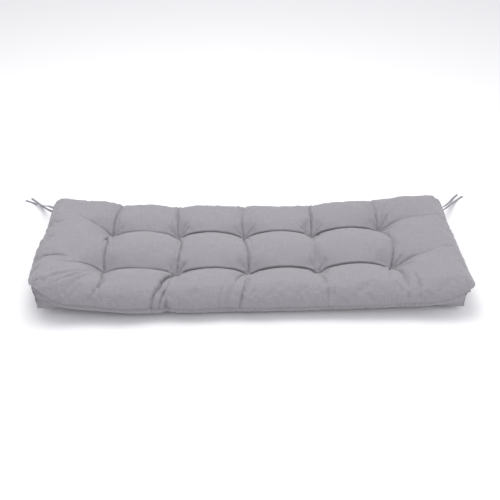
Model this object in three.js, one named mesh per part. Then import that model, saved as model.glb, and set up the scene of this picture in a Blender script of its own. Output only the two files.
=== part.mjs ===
// Bench cushion: a long, boxed and tufted cushion with two pairs of tie tapes at its rear corners.
// Millimetres. X runs along the bench, Y to the back, Z up. The cushion lies on its back at Z = 0.

import * as THREE from "three";

// Driving sizes of the filled cover.
const LENGTH = 1300; // between the corners of the top seam, along the front or the back
const DEPTH = 500; // between the corners of the top seam, along an end
const WIDEST_HEIGHT = 50; // the sides are widest at this height
const CROWN_RISE = 52; // from there up to the crown of the top panel
const SIDE_BULGE = 50; // how far the long sides swell past the flat of the top
const END_BULGE = 36; // the same at the two ends
const EAR_TURN = THREE.MathUtils.degToRad(35); // how far the top has rolled over at a pointed corner
const SIDE_TURN = THREE.MathUtils.degToRad(102); // and at the middle of a long side's seam
const END_TURN = THREE.MathUtils.degToRad(88); // and at the middle of an end's seam
const CORNER_REACH = { side: 280, end: 190 }; // the seam climbs to its corner over this length
const SEAM_CLIMB = { side: 3.5, end: 2 }; // 1 is a straight climb, more is a sharper ear

// The bottom panel is drawn in under the sides, and the boxing strip joins the two panels.
const UNDER_DEPTH = { middle: 452, corner: 496 };
const UNDER_LENGTH = { middle: 1264, corner: 1280 };
const UNDER_SEAM_HEIGHT = { middle: 1, corner: 2 };
const BOXING_SWELL = { middle: 9.5, corner: -4 };
const UNDER_SHARE = { depth: 0.17, reach: 0.4 }; // the bottom's valleys against those of the top
const UNDER_EDGE = 40; // the bottom rises to its seam over this width
const UNDER_TUFT_RISE = 12;
const UNDER_SAG = 0.3; // share of the lift that the fill sags back where nothing bears it

// The cushion came folded: its ends stay a little off the floor, and it bows a little to the back.
// It is not quite a rectangle either: the right end splays out to the front, where the filling has
// rolled the seam under (turn) and drawn its corner in (tuck). The other corners are pointed ears.
const LIFT = { start: 150, span: 500, bow: 6.4 };
const CORNERS = {
  leftBack: { lift: 30, splay: -3, turn: EAR_TURN, tuck: 0 },
  leftFront: { lift: 28, splay: 0, turn: EAR_TURN, tuck: 0 },
  rightBack: { lift: 30, splay: 4, turn: EAR_TURN, tuck: 0 },
  rightFront: { lift: 20, splay: 17, turn: THREE.MathUtils.degToRad(58), tuck: 16 },
};

// The filling pushes the front further out in some places: extra bulge by the place along the front.
const FRONT_SWELL = [
  { x: -650, out: 0 },
  { x: -540, out: 10 },
  { x: -335, out: 17 },
  { x: -230, out: 9 },
  { x: -111, out: 7 },
  { x: 111, out: -1 },
  { x: 335, out: 3 },
  { x: 540, out: 9 },
  { x: 650, out: 0 },
];

// The tufts: two rows of five, where a stitch pulls the panels together.
const ROW_GAP = 204;
const COLUMN_GAP = 223;
const SEAT_HALF = 6; // half of the small flat that each stitch lies on
const TUFT_SINK = 54; // depth of that flat under the crown
const DIMPLE = { depth: 9, reach: 40 };
const TUFTS = {
  back: [
    { x: -448, y: 96 },
    { x: -229, y: 99 },
    { x: -10, y: 101 },
    { x: 215, y: 103 },
    { x: 440, y: 113 },
  ],
  front: [
    { x: -450, y: -107 },
    { x: -224, y: -107 },
    { x: 2, y: -102 },
    { x: 220, y: -99 },
    { x: 448, y: -97 },
  ],
};

// Valleys of the top panel. Each row gives the depth at the valley's middle (and at its end, where it
// runs out to a seam), and the places [x, y] of the panel that it passes on its way.
const VALLEY_REACH = 102; // from the line of a valley to the crown of the pillow beside it
const VALLEY_AT_TUFT = 35;
const VALLEY_PIECES = 12; // straight pieces that follow the curve of a valley
const PILLOW_POWER = 3; // 2 is a parabola, more is a fuller pillow with steeper flanks
const JOIN_POWER = 4; // where valleys meet, a high power keeps the deeper one and rounds the join
const ALONG_ROWS = {
  back: [{ middle: 28 }, { middle: 23 }, { middle: 23 }, { middle: 25 }],
  front: [{ middle: 32 }, { middle: 28 }, { middle: 30 }, { middle: 22 }],
};
const BETWEEN_ROWS = [
  { middle: 17, via: [[-449, 0]] },
  { middle: 13, via: [[-213, -5]] },
  { middle: 15, via: [[-8, 10]] },
  { middle: 9, via: [[217, 0]] },
  { middle: 19, via: [[450, 10]] },
];
const TO_BACK_SEAM = [
  { middle: 22, end: 12, via: [[-443, 175], [-427, 290]] },
  { middle: 22, end: 8, via: [[-235, 190], [-239, 290]] },
  { middle: 15, end: 6, via: [[-18, 185], [-4, 290]] },
  { middle: 16, end: 6, via: [[218, 190], [217, 290]] },
  { middle: 7, end: 1, via: [[436, 190], [424, 290]] },
];
const TO_FRONT_SEAM = [
  { middle: 20, end: 9, via: [[-447, -205], [-462, -285]] },
  { middle: 25, end: 10, via: [[-240, -170], [-262, -213], [-283, -268], [-290, -304]] },
  { middle: 20, end: 8, via: [[-28, -168], [-47, -208], [-62, -255], [-73, -304]] },
  { middle: 13, end: 5, via: [[226, -200], [234, -290]] },
  { middle: 19, end: 8, via: [[463, -188], [463, -250], [458, -304]] },
];
const TO_END_SEAMS = [
  { row: "back", tuft: 0, middle: 18, end: 3, via: [[-505, 96], [-570, 125]] },
  { row: "front", tuft: 0, middle: 17, end: 7, via: [[-515, -116], [-577, -98], [-640, -90]] },
  { row: "back", tuft: 4, middle: 19, end: 4, via: [[492, 110], [535, 124], [590, 129], [650, 119]] },
  { row: "front", tuft: 4, middle: 18, end: 3, via: [[491, -99], [540, -82], [590, -66]] },
];

// Lesser folds beside the valleys, mostly where the front has slumped at its left: one that runs out
// to the left ear, a second one beside the deep front valley with a notch between, and a middle one.
const FOLDS = [
  { reach: 46, start: 10, middle: 10, end: 5, via: [[-468, -155], [-510, -204], [-540, -252]] },
  { reach: 28, start: 4, middle: 8, end: 7, via: [[-232, -195], [-253, -262], [-267, -303]] },
  { reach: 28, start: 2, middle: 8, end: 14, via: [[-240, -255], [-248, -320]] },
  { reach: 30, start: 3, middle: 6, end: 5, via: [[-6, -200], [-20, -269], [-28, -305]] },
];

// The pillows between the valleys are not filled alike: extra rise of each crown, from left to right.
const FULLNESS = [
  { y: 200, rises: [-6, -9, -6, -10, 1, 5] },
  { y: 0, rises: [1, 0, -2, 0, 1, 0] },
  { y: -200, rises: [4, 0, 1, 0, 1, 2] },
];

// The tie tapes, sewn from the cover's cloth: they stand out of the rear corners and lie out on the
// floor. A tape starts on the corner's upright edge at the height of its root, goes straight out for
// a tape's width, and passes the places [x, y, z] of its route. It leaves the corner on edge and has
// turned flat by a share of its length.
const TAPE = { width: 8, thickness: 2, gap: 0.4, steps: 26 };
const TAPE_TWIST = { angle: THREE.MathUtils.degToRad(81), until: 0.45 };
const TAPE_BEVEL = { across: 0.8, up: 0.4 }; // where the edges round off, as shares of the half sizes
const TIES = [
  {
    name: "tie_left_a",
    side: -1,
    root: 78,
    route: [[-672, 266, 73], [-700, 305, 56], [-733, 354, 29], [-765, 398, 9], [-787, 420, 2],
      [-817, 438, 1.4]],
  },
  {
    name: "tie_left_b",
    side: -1,
    root: 62,
    route: [[-679, 273, 53], [-702, 303, 42], [-731, 360, 18], [-752, 398, 5], [-773, 424, 2],
      [-798, 453, 1.4]],
  },
  {
    name: "tie_right_a",
    side: 1,
    root: 70,
    route: [[684, 273, 57], [704, 302, 44], [728, 343, 30], [752, 394, 10], [770, 428, 2],
      [794, 458, 1.4]],
  },
  {
    name: "tie_right_b",
    side: 1,
    root: 57,
    route: [[690, 275, 44], [714, 304, 37], [738, 345, 24], [765, 391, 8], [785, 420, 2],
      [811, 446, 1.4]],
  },
];

// The tuft stitches: a short bar of thick thread in the bottom of each tuft.
const STITCH = { length: 9, width: 2.4, height: 1.8, gap: 0.3, capSteps: 3, roundSteps: 8 };

// How finely the panels are divided, and how much the lines crowd towards the tufts (1 is most).
const STEPS = {
  columns: { between: 10, outer: 8, roll: 4 },
  rows: { between: 10, outer: 5, roll: 5 },
  boxing: 3,
};
const CROWDING = { between: 0.6, outer: 0.3 };

const cloth = () => new THREE.MeshStandardMaterial({ color: 0xaeaab1, roughness: 0.9, metalness: 0 });
const tape = () => new THREE.MeshStandardMaterial({ color: 0xa29ea5, roughness: 0.9, metalness: 0 });
const thread = () => new THREE.MeshStandardMaterial({ color: 0xbab6bc, roughness: 0.75, metalness: 0 });

const { lerp, clamp } = THREE.MathUtils;
const flatHalfLength = LENGTH / 2 - END_BULGE * Math.sin(EAR_TURN);
const flatHalfDepth = DEPTH / 2 - SIDE_BULGE * Math.sin(EAR_TURN);
const endRollRadius = (END_BULGE + CROWN_RISE) / 2;
const sideRollRadius = (SIDE_BULGE + CROWN_RISE) / 2;

// Lines across a panel, from one side to the other. A line is at a place on the flat of the panel, and
// those past the flat lie on the roll, from 0 at its start to 1 at the seam.
function panelLines(tufts, flatHalf, steps) {
  const stops = [-flatHalf, ...tufts.flatMap((t) => [t - SEAT_HALF, t + SEAT_HALF]), flatHalf];
  const flats = [stops[0]];
  for (let s = 1; s < stops.length; s++) {
    const part = s === 1 || s === stops.length - 1 ? "outer" : "between";
    const isSeat = s % 2 === 0;
    const count = isSeat ? 1 : steps[part];
    for (let k = 1; k <= count; k++) {
      const even = k / count;
      const crowded = (1 - Math.cos(Math.PI * even)) / 2;
      flats.push(lerp(stops[s - 1], stops[s], lerp(even, crowded, CROWDING[part])));
    }
  }
  const rolls = Array.from({ length: steps.roll }, (_, k) => (k + 1) / steps.roll);
  return [
    ...rolls.toReversed().map((roll) => ({ side: -1, flat: -flatHalf, roll })),
    ...flats.map((flat) => ({ side: Math.sign(flat), flat, roll: 0 })),
    ...rolls.map((roll) => ({ side: 1, flat: flatHalf, roll })),
  ];
}

const tuftColumns = [-2, -1, 0, 1, 2].map((k) => k * COLUMN_GAP);
const tuftRows = [-ROW_GAP / 2, ROW_GAP / 2];
const columns = panelLines(tuftColumns, flatHalfLength, STEPS.columns);
const rows = panelLines(tuftRows, flatHalfDepth, STEPS.rows);

// The lines are drawn aside a little so that they pass through each tuft where it really is.
function drift(x, y) {
  const moved = new THREE.Vector2(x, y);
  for (const row of ["front", "back"]) {
    const rowY = tuftRows[row === "front" ? 0 : 1];
    const outside = Math.abs(y) > Math.abs(rowY) && Math.sign(y) === Math.sign(rowY);
    const rowReach = outside ? flatHalfDepth - ROW_GAP / 2 : ROW_GAP;
    const rowShare = clamp(1 - Math.abs(y - rowY) / rowReach, 0, 1);
    TUFTS[row].forEach((tuft, i) => {
      const share = rowShare * clamp(1 - Math.abs(x - tuftColumns[i]) / COLUMN_GAP, 0, 1);
      moved.x += share * (tuft.x - tuftColumns[i]);
      moved.y += share * (tuft.y - rowY);
    });
  }
  return moved;
}

// Every valley as a curve on the panel, with the depth at its start, middle and end.
const tuftPoint = (tuft) => new THREE.Vector2(tuft.x, tuft.y);
const asPoints = (places) => places.map(([x, y]) => new THREE.Vector2(x, y));
function crease(places, depths, reach) {
  return { places: new THREE.SplineCurve(places).getSpacedPoints(VALLEY_PIECES), depths, reach };
}
function valley(start, via, middle, end) {
  return crease([start, ...via], [VALLEY_AT_TUFT, middle, end], VALLEY_REACH);
}
const valleys = [
  ...["back", "front"].flatMap((row) =>
    ALONG_ROWS[row].map(({ middle }, i) =>
      valley(tuftPoint(TUFTS[row][i]), [tuftPoint(TUFTS[row][i + 1])], middle, VALLEY_AT_TUFT),
    ),
  ),
  ...BETWEEN_ROWS.map(({ middle, via }, i) =>
    valley(tuftPoint(TUFTS.back[i]), [...asPoints(via), tuftPoint(TUFTS.front[i])], middle, VALLEY_AT_TUFT),
  ),
  ...TO_BACK_SEAM.map(({ middle, end, via }, i) =>
    valley(tuftPoint(TUFTS.back[i]), asPoints(via), middle, end),
  ),
  ...TO_FRONT_SEAM.map(({ middle, end, via }, i) =>
    valley(tuftPoint(TUFTS.front[i]), asPoints(via), middle, end),
  ),
  ...TO_END_SEAMS.map(({ row, tuft, middle, end, via }) =>
    valley(tuftPoint(TUFTS[row][tuft]), asPoints(via), middle, end),
  ),
  ...FOLDS.map(({ reach, start, middle, end, via }) => crease(asPoints(via), [start, middle, end], reach)),
];

// How deep one valley is at a point of the panel: sharp along its line, and rounding out to nothing.
function valleyDepth({ places, depths, reach: fullReach }, point, reachShare) {
  const reach = fullReach * reachShare;
  let nearest = Infinity;
  let along = 0;
  for (let k = 1; k < places.length; k++) {
    const step = places[k].clone().sub(places[k - 1]);
    const t = clamp(point.clone().sub(places[k - 1]).dot(step) / step.lengthSq(), 0, 1);
    const distance = point.distanceTo(places[k - 1].clone().addScaledVector(step, t));
    if (distance < nearest) {
      nearest = distance;
      along = (k - 1 + t) / (places.length - 1);
    }
  }
  if (nearest >= reach) return 0;
  const [start, middle, end] = depths;
  const depth = along < 0.5 ? lerp(start, middle, along * 2) : lerp(middle, end, along * 2 - 1);
  return depth * (1 - nearest / reach) ** PILLOW_POWER;
}

function foldDepth(point, reachShare) {
  const depths = valleys.map((each) => valleyDepth(each, point, reachShare));
  return depths.reduce((sum, depth) => sum + depth ** JOIN_POWER, 0) ** (1 / JOIN_POWER);
}

const allTufts = [...TUFTS.back, ...TUFTS.front];
const SEAT_REACH = SEAT_HALF * 1.7; // takes in the four corners of a seat and no other point
function nearestTuft(point) {
  return Math.min(...allTufts.map((tuft) => Math.hypot(point.x - tuft.x, point.y - tuft.y)));
}

function topDepth(point) {
  const away = nearestTuft(point);
  if (away < SEAT_REACH) return TUFT_SINK;
  const dimple = DIMPLE.depth * clamp(1 - away / DIMPLE.reach, 0, 1) ** 2;
  return Math.min(foldDepth(point, 1) + dimple, TUFT_SINK);
}

function fullness(point) {
  let rise = 0;
  for (const { y, rises } of FULLNESS) {
    const acrossShare = clamp(1 - ((point.y - y) / (ROW_GAP / 2)) ** 2, 0, 1) ** 2;
    rises.forEach((amount, i) => {
      const centre = (i - (rises.length - 1) / 2) * COLUMN_GAP;
      const alongShare = clamp(1 - ((point.x - centre) / (COLUMN_GAP / 2)) ** 2, 0, 1) ** 2;
      rise += amount * acrossShare * alongShare;
    });
  }
  return rise;
}

// Closeness to a corner along a side, from 0 in the middle to 1 at the corner.
function nearCorner(line, bulge, length, reach, climb) {
  const place = Math.abs(line.flat) + bulge * Math.sin(EAR_TURN) * line.roll;
  return clamp((place - length / 2 + reach) / reach, 0, 1) ** climb;
}
const cornerOnSide = (column) => nearCorner(column, END_BULGE, LENGTH, CORNER_REACH.side, SEAM_CLIMB.side);
const cornerOnEnd = (row) => nearCorner(row, SIDE_BULGE, DEPTH, CORNER_REACH.end, SEAM_CLIMB.end);

const cornerOf = (x, y) => CORNERS[(x < 0 ? "left" : "right") + (y < 0 ? "Front" : "Back")];

// Ends lifted off the floor, splayed and bowed to the back, for any point of the cover.
function settle(point) {
  const front = cornerOf(point.x, -1);
  const back = cornerOf(point.x, 1);
  const backShare = clamp(point.y / DEPTH + 0.5, 0, 1);
  const t = Math.max(0, (Math.abs(point.x) - LIFT.start) / LIFT.span) ** 1.5;
  point.z = Math.max(0, point.z + t * lerp(front.lift, back.lift, backShare));
  point.x += Math.sign(point.x) * t ** 2 * lerp(front.splay, back.splay, backShare);
  point.y += LIFT.bow * t;
  return point;
}

// Extra bulge of the front at a place along it.
function frontSwell(x) {
  const next = FRONT_SWELL.findIndex((place) => place.x > x);
  if (next < 1) return 0;
  const [a, b] = [FRONT_SWELL[next - 1], FRONT_SWELL[next]];
  return lerp(a.out, b.out, THREE.MathUtils.smoothstep(x, a.x, b.x));
}

// A point of the top panel, before it settles: the rounded envelope, less the valleys across it.
function topPoint(column, row) {
  const corner = cornerOf(column.side, row.side);
  const endAngle = column.roll * lerp(END_TURN, corner.turn, cornerOnEnd(row));
  const sideAngle = row.roll * lerp(SIDE_TURN, corner.turn, cornerOnSide(column));
  const flat = drift(column.flat, row.flat);
  const onPanel = new THREE.Vector2(
    flat.x + column.side * endRollRadius * endAngle,
    flat.y + row.side * sideRollRadius * sideAngle,
  );
  const rise = Math.cos(endAngle) * Math.cos(sideAngle);
  const sideBulge = SIDE_BULGE + (row.side < 0 ? frontSwell(flat.x) : 0);
  const tuck = corner.tuck * (column.roll * row.roll) ** 2;
  const outward = new THREE.Vector3(
    column.side * Math.sin(endAngle),
    row.side * Math.sin(sideAngle),
    rise,
  ).normalize();
  return new THREE.Vector3(
    flat.x + column.side * (END_BULGE * Math.sin(endAngle) - tuck),
    flat.y + row.side * (sideBulge * Math.sin(sideAngle) - tuck),
    WIDEST_HEIGHT + CROWN_RISE * rise,
  ).addScaledVector(outward, fullness(onPanel) - topDepth(onPanel));
}

// A point of the bottom panel. Its lines are those of the top, drawn in past the outer tufts.
function underPlace(line, flatHalf, rollRadius, turn, tuftEdge, seamPlace) {
  const across = Math.abs(line.flat) + line.roll * rollRadius * turn;
  const whole = flatHalf + rollRadius * turn;
  if (across <= tuftEdge) return line.flat;
  return line.side * lerp(tuftEdge, seamPlace, (across - tuftEdge) / (whole - tuftEdge));
}

function underPoint(column, row) {
  const onEnd = cornerOnEnd(row);
  const onSide = cornerOnSide(column);
  const tuftEdges = [2 * COLUMN_GAP + SEAT_HALF, ROW_GAP / 2 + SEAT_HALF];
  const seamX = lerp(UNDER_LENGTH.middle, UNDER_LENGTH.corner, onEnd) / 2;
  const swell = row.side < 0 ? frontSwell(column.flat) : 0;
  const seamY = lerp(UNDER_DEPTH.middle, UNDER_DEPTH.corner, onSide) / 2 + swell;
  const x = underPlace(column, flatHalfLength, endRollRadius, END_TURN, tuftEdges[0], seamX);
  const y = underPlace(row, flatHalfDepth, sideRollRadius, SIDE_TURN, tuftEdges[1], seamY);
  const place = drift(x, y);
  const seamHeight = lerp(UNDER_SEAM_HEIGHT.middle, UNDER_SEAM_HEIGHT.corner, Math.max(onEnd, onSide));
  const nearSeam = clamp(1 - Math.min(seamX - Math.abs(x), seamY - Math.abs(y)) / UNDER_EDGE, 0, 1) ** 2;
  const lift = settle(new THREE.Vector3(place.x, place.y, 0)).z;
  const fold = UNDER_SHARE.depth * foldDepth(place, UNDER_SHARE.reach);
  const seated = nearestTuft(place) < SEAT_REACH ? UNDER_TUFT_RISE : fold;
  const height = Math.max(seated, seamHeight * nearSeam) - UNDER_SAG * lift * (1 - nearSeam);
  return new THREE.Vector3(place.x, place.y, height);
}

// A point of the boxing strip, between the two seams at one place of the rim.
function boxingPoint(column, row, share) {
  const top = topPoint(column, row);
  const under = underPoint(column, row);
  const onEnd = column.roll === 1;
  const onSide = row.roll === 1;
  const outward = new THREE.Vector3(onEnd ? column.side : 0, onSide ? row.side : 0, 0);
  const closeness = Math.max(onEnd ? cornerOnEnd(row) : 0, onSide ? cornerOnSide(column) : 0);
  const swell = lerp(BOXING_SWELL.middle, BOXING_SWELL.corner, closeness) * 4 * share * (1 - share);
  const drop = under.clone().sub(top);
  const chord = Math.hypot(drop.dot(outward.clone().normalize()), drop.z);
  outward.normalize().multiplyScalar(-drop.z / chord);
  outward.z = drop.dot(outward.clone().setZ(0).normalize()) / chord;
  return top.lerp(under, share).addScaledVector(outward, swell);
}

function boxingLine(column, row) {
  const shares = Array.from({ length: STEPS.boxing + 1 }, (_, k) => k / STEPS.boxing);
  return shares.map((share) => settle(boxingPoint(column, row, share)));
}

// The whole cover as one closed mesh: top grid, bottom grid and the strip around them.
function coverGeometry() {
  const positions = [];
  const quad = (a, b, c, d) => {
    for (const corner of [a, b, c, a, c, d]) positions.push(corner.x, corner.y, corner.z);
  };
  const grid = (pointAt) => columns.map((column) => rows.map((row) => settle(pointAt(column, row))));
  const top = grid(topPoint);
  const under = grid(underPoint);
  for (let i = 1; i < columns.length; i++) {
    for (let j = 1; j < rows.length; j++) {
      quad(top[i - 1][j - 1], top[i][j - 1], top[i][j], top[i - 1][j]);
      quad(under[i - 1][j - 1], under[i - 1][j], under[i][j], under[i][j - 1]);
    }
  }
  const lastColumn = columns.length - 1;
  const lastRow = rows.length - 1;
  const rim = [];
  for (let i = 0; i < lastColumn; i++) rim.push([i, 0]);
  for (let j = 0; j < lastRow; j++) rim.push([lastColumn, j]);
  for (let i = lastColumn; i > 0; i--) rim.push([i, lastRow]);
  for (let j = lastRow; j > 0; j--) rim.push([0, j]);
  const strip = rim.map(([i, j]) => [
    top[i][j],
    ...boxingLine(columns[i], rows[j]).slice(1, -1),
    under[i][j],
  ]);
  strip.forEach((here, n) => {
    const next = strip[(n + 1) % strip.length];
    for (let k = 1; k <= STEPS.boxing; k++) quad(here[k - 1], here[k], next[k], next[k - 1]);
  });
  return new THREE.BufferGeometry().setAttribute("position", new THREE.Float32BufferAttribute(positions, 3));
}

// The upright edge where the boxing turns a rear corner: its point at a given height.
function rearCornerEdge(side, height) {
  const edge = boxingLine(columns.at(side < 0 ? 0 : -1), rows.at(-1));
  const below = edge.findIndex((point) => point.z <= height);
  const above = edge[below - 1];
  return above.clone().lerp(edge[below], (above.z - height) / (above.z - edge[below].z));
}

// A tape along its route, as a closed tube of rings.
function tapeGeometry({ side, root, route }) {
  const edge = rearCornerEdge(side, root);
  const away = new THREE.Vector3(side, 1, 0).normalize();
  const start = edge.clone().addScaledVector(away, TAPE.gap);
  const squareOut = edge.clone().addScaledVector(away, TAPE.gap + TAPE.width);
  const places = route.map((place) => new THREE.Vector3(...place));
  const curve = new THREE.CatmullRomCurve3([start, squareOut, ...places]);
  const { across, up } = TAPE_BEVEL;
  const halfRound = [[-1, -up], [-across, -1], [across, -1], [1, -up]];
  const section = [...halfRound, ...halfRound.map(([w, t]) => [-w, -t])];
  const rings = [];
  for (let k = 0; k <= TAPE.steps; k++) {
    const along = k / TAPE.steps;
    const centre = curve.getPointAt(along);
    const ahead = curve.getTangentAt(along);
    const level = new THREE.Vector3(ahead.y, -ahead.x, 0).normalize();
    const upright = new THREE.Vector3().crossVectors(level, ahead).normalize();
    const turned = TAPE_TWIST.angle * (1 - THREE.MathUtils.smoothstep(along, 0, TAPE_TWIST.until));
    const wide = level.clone().multiplyScalar(Math.cos(turned)).addScaledVector(upright, Math.sin(turned));
    const thick = new THREE.Vector3().crossVectors(wide, ahead).normalize();
    const ring = section.map(([w, t]) =>
      centre
        .clone()
        .addScaledVector(wide, (w * TAPE.width) / 2)
        .addScaledVector(thick, (t * TAPE.thickness) / 2),
    );
    rings.push(ring);
  }
  const positions = [];
  const triangle = (...corners) => corners.forEach((corner) => positions.push(corner.x, corner.y, corner.z));
  for (let k = 1; k < rings.length; k++) {
    for (let n = 0; n < section.length; n++) {
      const m = (n + 1) % section.length;
      triangle(rings[k - 1][n], rings[k][m], rings[k - 1][m]);
      triangle(rings[k - 1][n], rings[k][n], rings[k][m]);
    }
  }
  const [first, last] = [rings[0], rings.at(-1)];
  for (let n = 2; n < section.length; n++) {
    triangle(first[0], first[n - 1], first[n]);
    triangle(last[0], last[n], last[n - 1]);
  }
  return new THREE.BufferGeometry().setAttribute("position", new THREE.Float32BufferAttribute(positions, 3));
}

// A stitch lies front to back in its tuft, a hair above the cloth.
function stitchMesh(tuft) {
  const radius = STITCH.width / 2;
  const straight = STITCH.length - STITCH.width;
  const geometry = new THREE.CapsuleGeometry(radius, straight, STITCH.capSteps, STITCH.roundSteps);
  const seatHeight = WIDEST_HEIGHT + CROWN_RISE - TUFT_SINK;
  const seat = settle(new THREE.Vector3(tuft.x, tuft.y, seatHeight));
  const outer = settle(new THREE.Vector3(tuft.x + Math.sign(tuft.x) * radius, tuft.y, seatHeight));
  const mesh = new THREE.Mesh(geometry, thread());
  mesh.scale.z = STITCH.height / STITCH.width;
  mesh.position.set(seat.x, seat.y, outer.z + STITCH.gap + STITCH.height / 2);
  return mesh;
}

const cushion = new THREE.Mesh(coverGeometry(), cloth());
cushion.name = "cushion";
const pieces = new THREE.Group();
pieces.add(cushion);

for (const row of ["back", "front"]) {
  TUFTS[row].forEach((tuft, i) => {
    const stitch = stitchMesh(tuft);
    stitch.name = `tuft_${row}_${i + 1}`;
    pieces.add(stitch);
  });
}

for (const tie of TIES) {
  const mesh = new THREE.Mesh(tapeGeometry(tie), tape());
  mesh.name = tie.name;
  pieces.add(mesh);
}

// The middle of the cushion's own box comes over the origin, with the ties left out of it.
const middle = new THREE.Box3().setFromObject(cushion).getCenter(new THREE.Vector3());
pieces.position.set(-middle.x, -middle.y, 0);
const bench = new THREE.Group().add(pieces);

export default bench;
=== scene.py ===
# Bench cushion: its filled and tufted cover, the thread in its tufts and the tie tapes at its rear corners.
# Metres. X runs along the bench, Y to the back, Z up, and the cushion lies on its back.
import math

import bpy
import numpy as np
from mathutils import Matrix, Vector, noise


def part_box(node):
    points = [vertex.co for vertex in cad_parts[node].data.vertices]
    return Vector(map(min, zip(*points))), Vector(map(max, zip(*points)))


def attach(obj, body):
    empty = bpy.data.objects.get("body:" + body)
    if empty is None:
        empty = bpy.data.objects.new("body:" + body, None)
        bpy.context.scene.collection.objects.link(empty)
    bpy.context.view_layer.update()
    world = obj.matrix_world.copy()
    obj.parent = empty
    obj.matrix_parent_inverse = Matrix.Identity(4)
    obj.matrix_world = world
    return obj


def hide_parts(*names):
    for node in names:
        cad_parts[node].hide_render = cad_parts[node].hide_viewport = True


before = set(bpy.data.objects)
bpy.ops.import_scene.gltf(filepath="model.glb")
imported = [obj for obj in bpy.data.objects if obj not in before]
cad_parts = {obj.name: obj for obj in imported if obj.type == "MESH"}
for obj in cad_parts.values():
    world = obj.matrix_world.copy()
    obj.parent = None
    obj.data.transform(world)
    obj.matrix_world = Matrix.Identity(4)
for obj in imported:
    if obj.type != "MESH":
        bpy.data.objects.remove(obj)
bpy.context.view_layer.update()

# The view and the studio
# The cushion lies on a plain pale floor under broad soft lights, seen from the front and from above.
# The pattern of its tufts has its middle a little left of the middle of the cushion's own box.
PATTERN_MIDDLE = np.array([-0.00827, 0.00470, 0.0])
VIEW = {"distance": 2.62, "down": math.radians(34.59), "aside": math.radians(0.82), "height": 0.05}
LENS = {"focal_mm": 58.14, "film_mm": 36, "shift_x": 0.0047, "shift_y": 0.0097}
scene = bpy.context.scene
scene.view_settings.view_transform = "Standard"


def show(obj):
    scene.collection.objects.link(obj)
    return obj


def linear(hex_colour):
    """A colour written as sRGB hex, in the linear values that the shader takes."""
    parts = [int(hex_colour[i:i + 2], 16) / 255 for i in (1, 3, 5)]
    return [p / 12.92 if p <= 0.04045 else ((p + 0.055) / 1.055) ** 2.4 for p in parts] + [1.0]


def new_material(name, roughness, **shader_settings):
    """A material with its shader's own sockets set."""
    material = bpy.data.materials.new(name)
    material.use_nodes = True
    shader = material.node_tree.nodes["Principled BSDF"]
    shader.inputs["Roughness"].default_value = roughness
    for socket, value in shader_settings.items():
        shader.inputs[socket.replace("_", " ")].default_value = value
    return material, shader


camera_data = bpy.data.cameras.new("photo_view")
camera_data.lens = LENS["focal_mm"]
camera_data.sensor_width = LENS["film_mm"]
camera_data.shift_x = LENS["shift_x"]
camera_data.shift_y = LENS["shift_y"]
camera = show(bpy.data.objects.new("photo_view", camera_data))
level = VIEW["distance"] * math.cos(VIEW["down"])
back_to_camera = Vector((
    -math.sin(VIEW["aside"]) * level,
    -math.cos(VIEW["aside"]) * level,
    VIEW["distance"] * math.sin(VIEW["down"]),
))
camera.location = Vector(PATTERN_MIDDLE) + Vector((0, 0, VIEW["height"])) + back_to_camera
camera.rotation_euler = (-back_to_camera).to_track_quat("-Z", "Y").to_euler()
scene.camera = camera

FLOOR_HALF = 6.0
WORLD = {"colour": "#f7f7fa", "strength": 0.85}
floor_mesh = bpy.data.meshes.new("floor")
floor_corners = [(-FLOOR_HALF, -FLOOR_HALF, 0), (FLOOR_HALF, -FLOOR_HALF, 0),
                 (FLOOR_HALF, FLOOR_HALF, 0), (-FLOOR_HALF, FLOOR_HALF, 0)]
floor_mesh.from_pydata(floor_corners, [], [(0, 1, 2, 3)])
floor = show(bpy.data.objects.new("floor", floor_mesh))
# Matt white paper: it takes a soft shadow and mirrors nothing.
paper, paper_shader = new_material("matt_studio_paper", 0.95, Base_Color=linear("#f4f4f5"))
floor_mesh.materials.append(paper)

world = bpy.data.worlds.new("studio")
world.use_nodes = True
world.node_tree.nodes["Background"].inputs["Color"].default_value = linear(WORLD["colour"])
world.node_tree.nodes["Background"].inputs["Strength"].default_value = WORLD["strength"]
scene.world = world

STUDIO_LIGHTS = [
    {"name": "overhead", "at": (-0.3, 0.4, 2.6), "size": 2.0, "watts": 40},
    {"name": "from_the_right", "at": (2.0, -1.7, 1.7), "size": 1.6, "watts": 15},
]
for light in STUDIO_LIGHTS:
    lamp = bpy.data.lights.new(light["name"], "AREA")
    lamp.size = light["size"]
    lamp.energy = light["watts"]
    holder = show(bpy.data.objects.new(light["name"], lamp))
    holder.location = light["at"]
    holder.rotation_euler = (-Vector(light["at"])).to_track_quat("-Z", "Y").to_euler()

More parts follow.
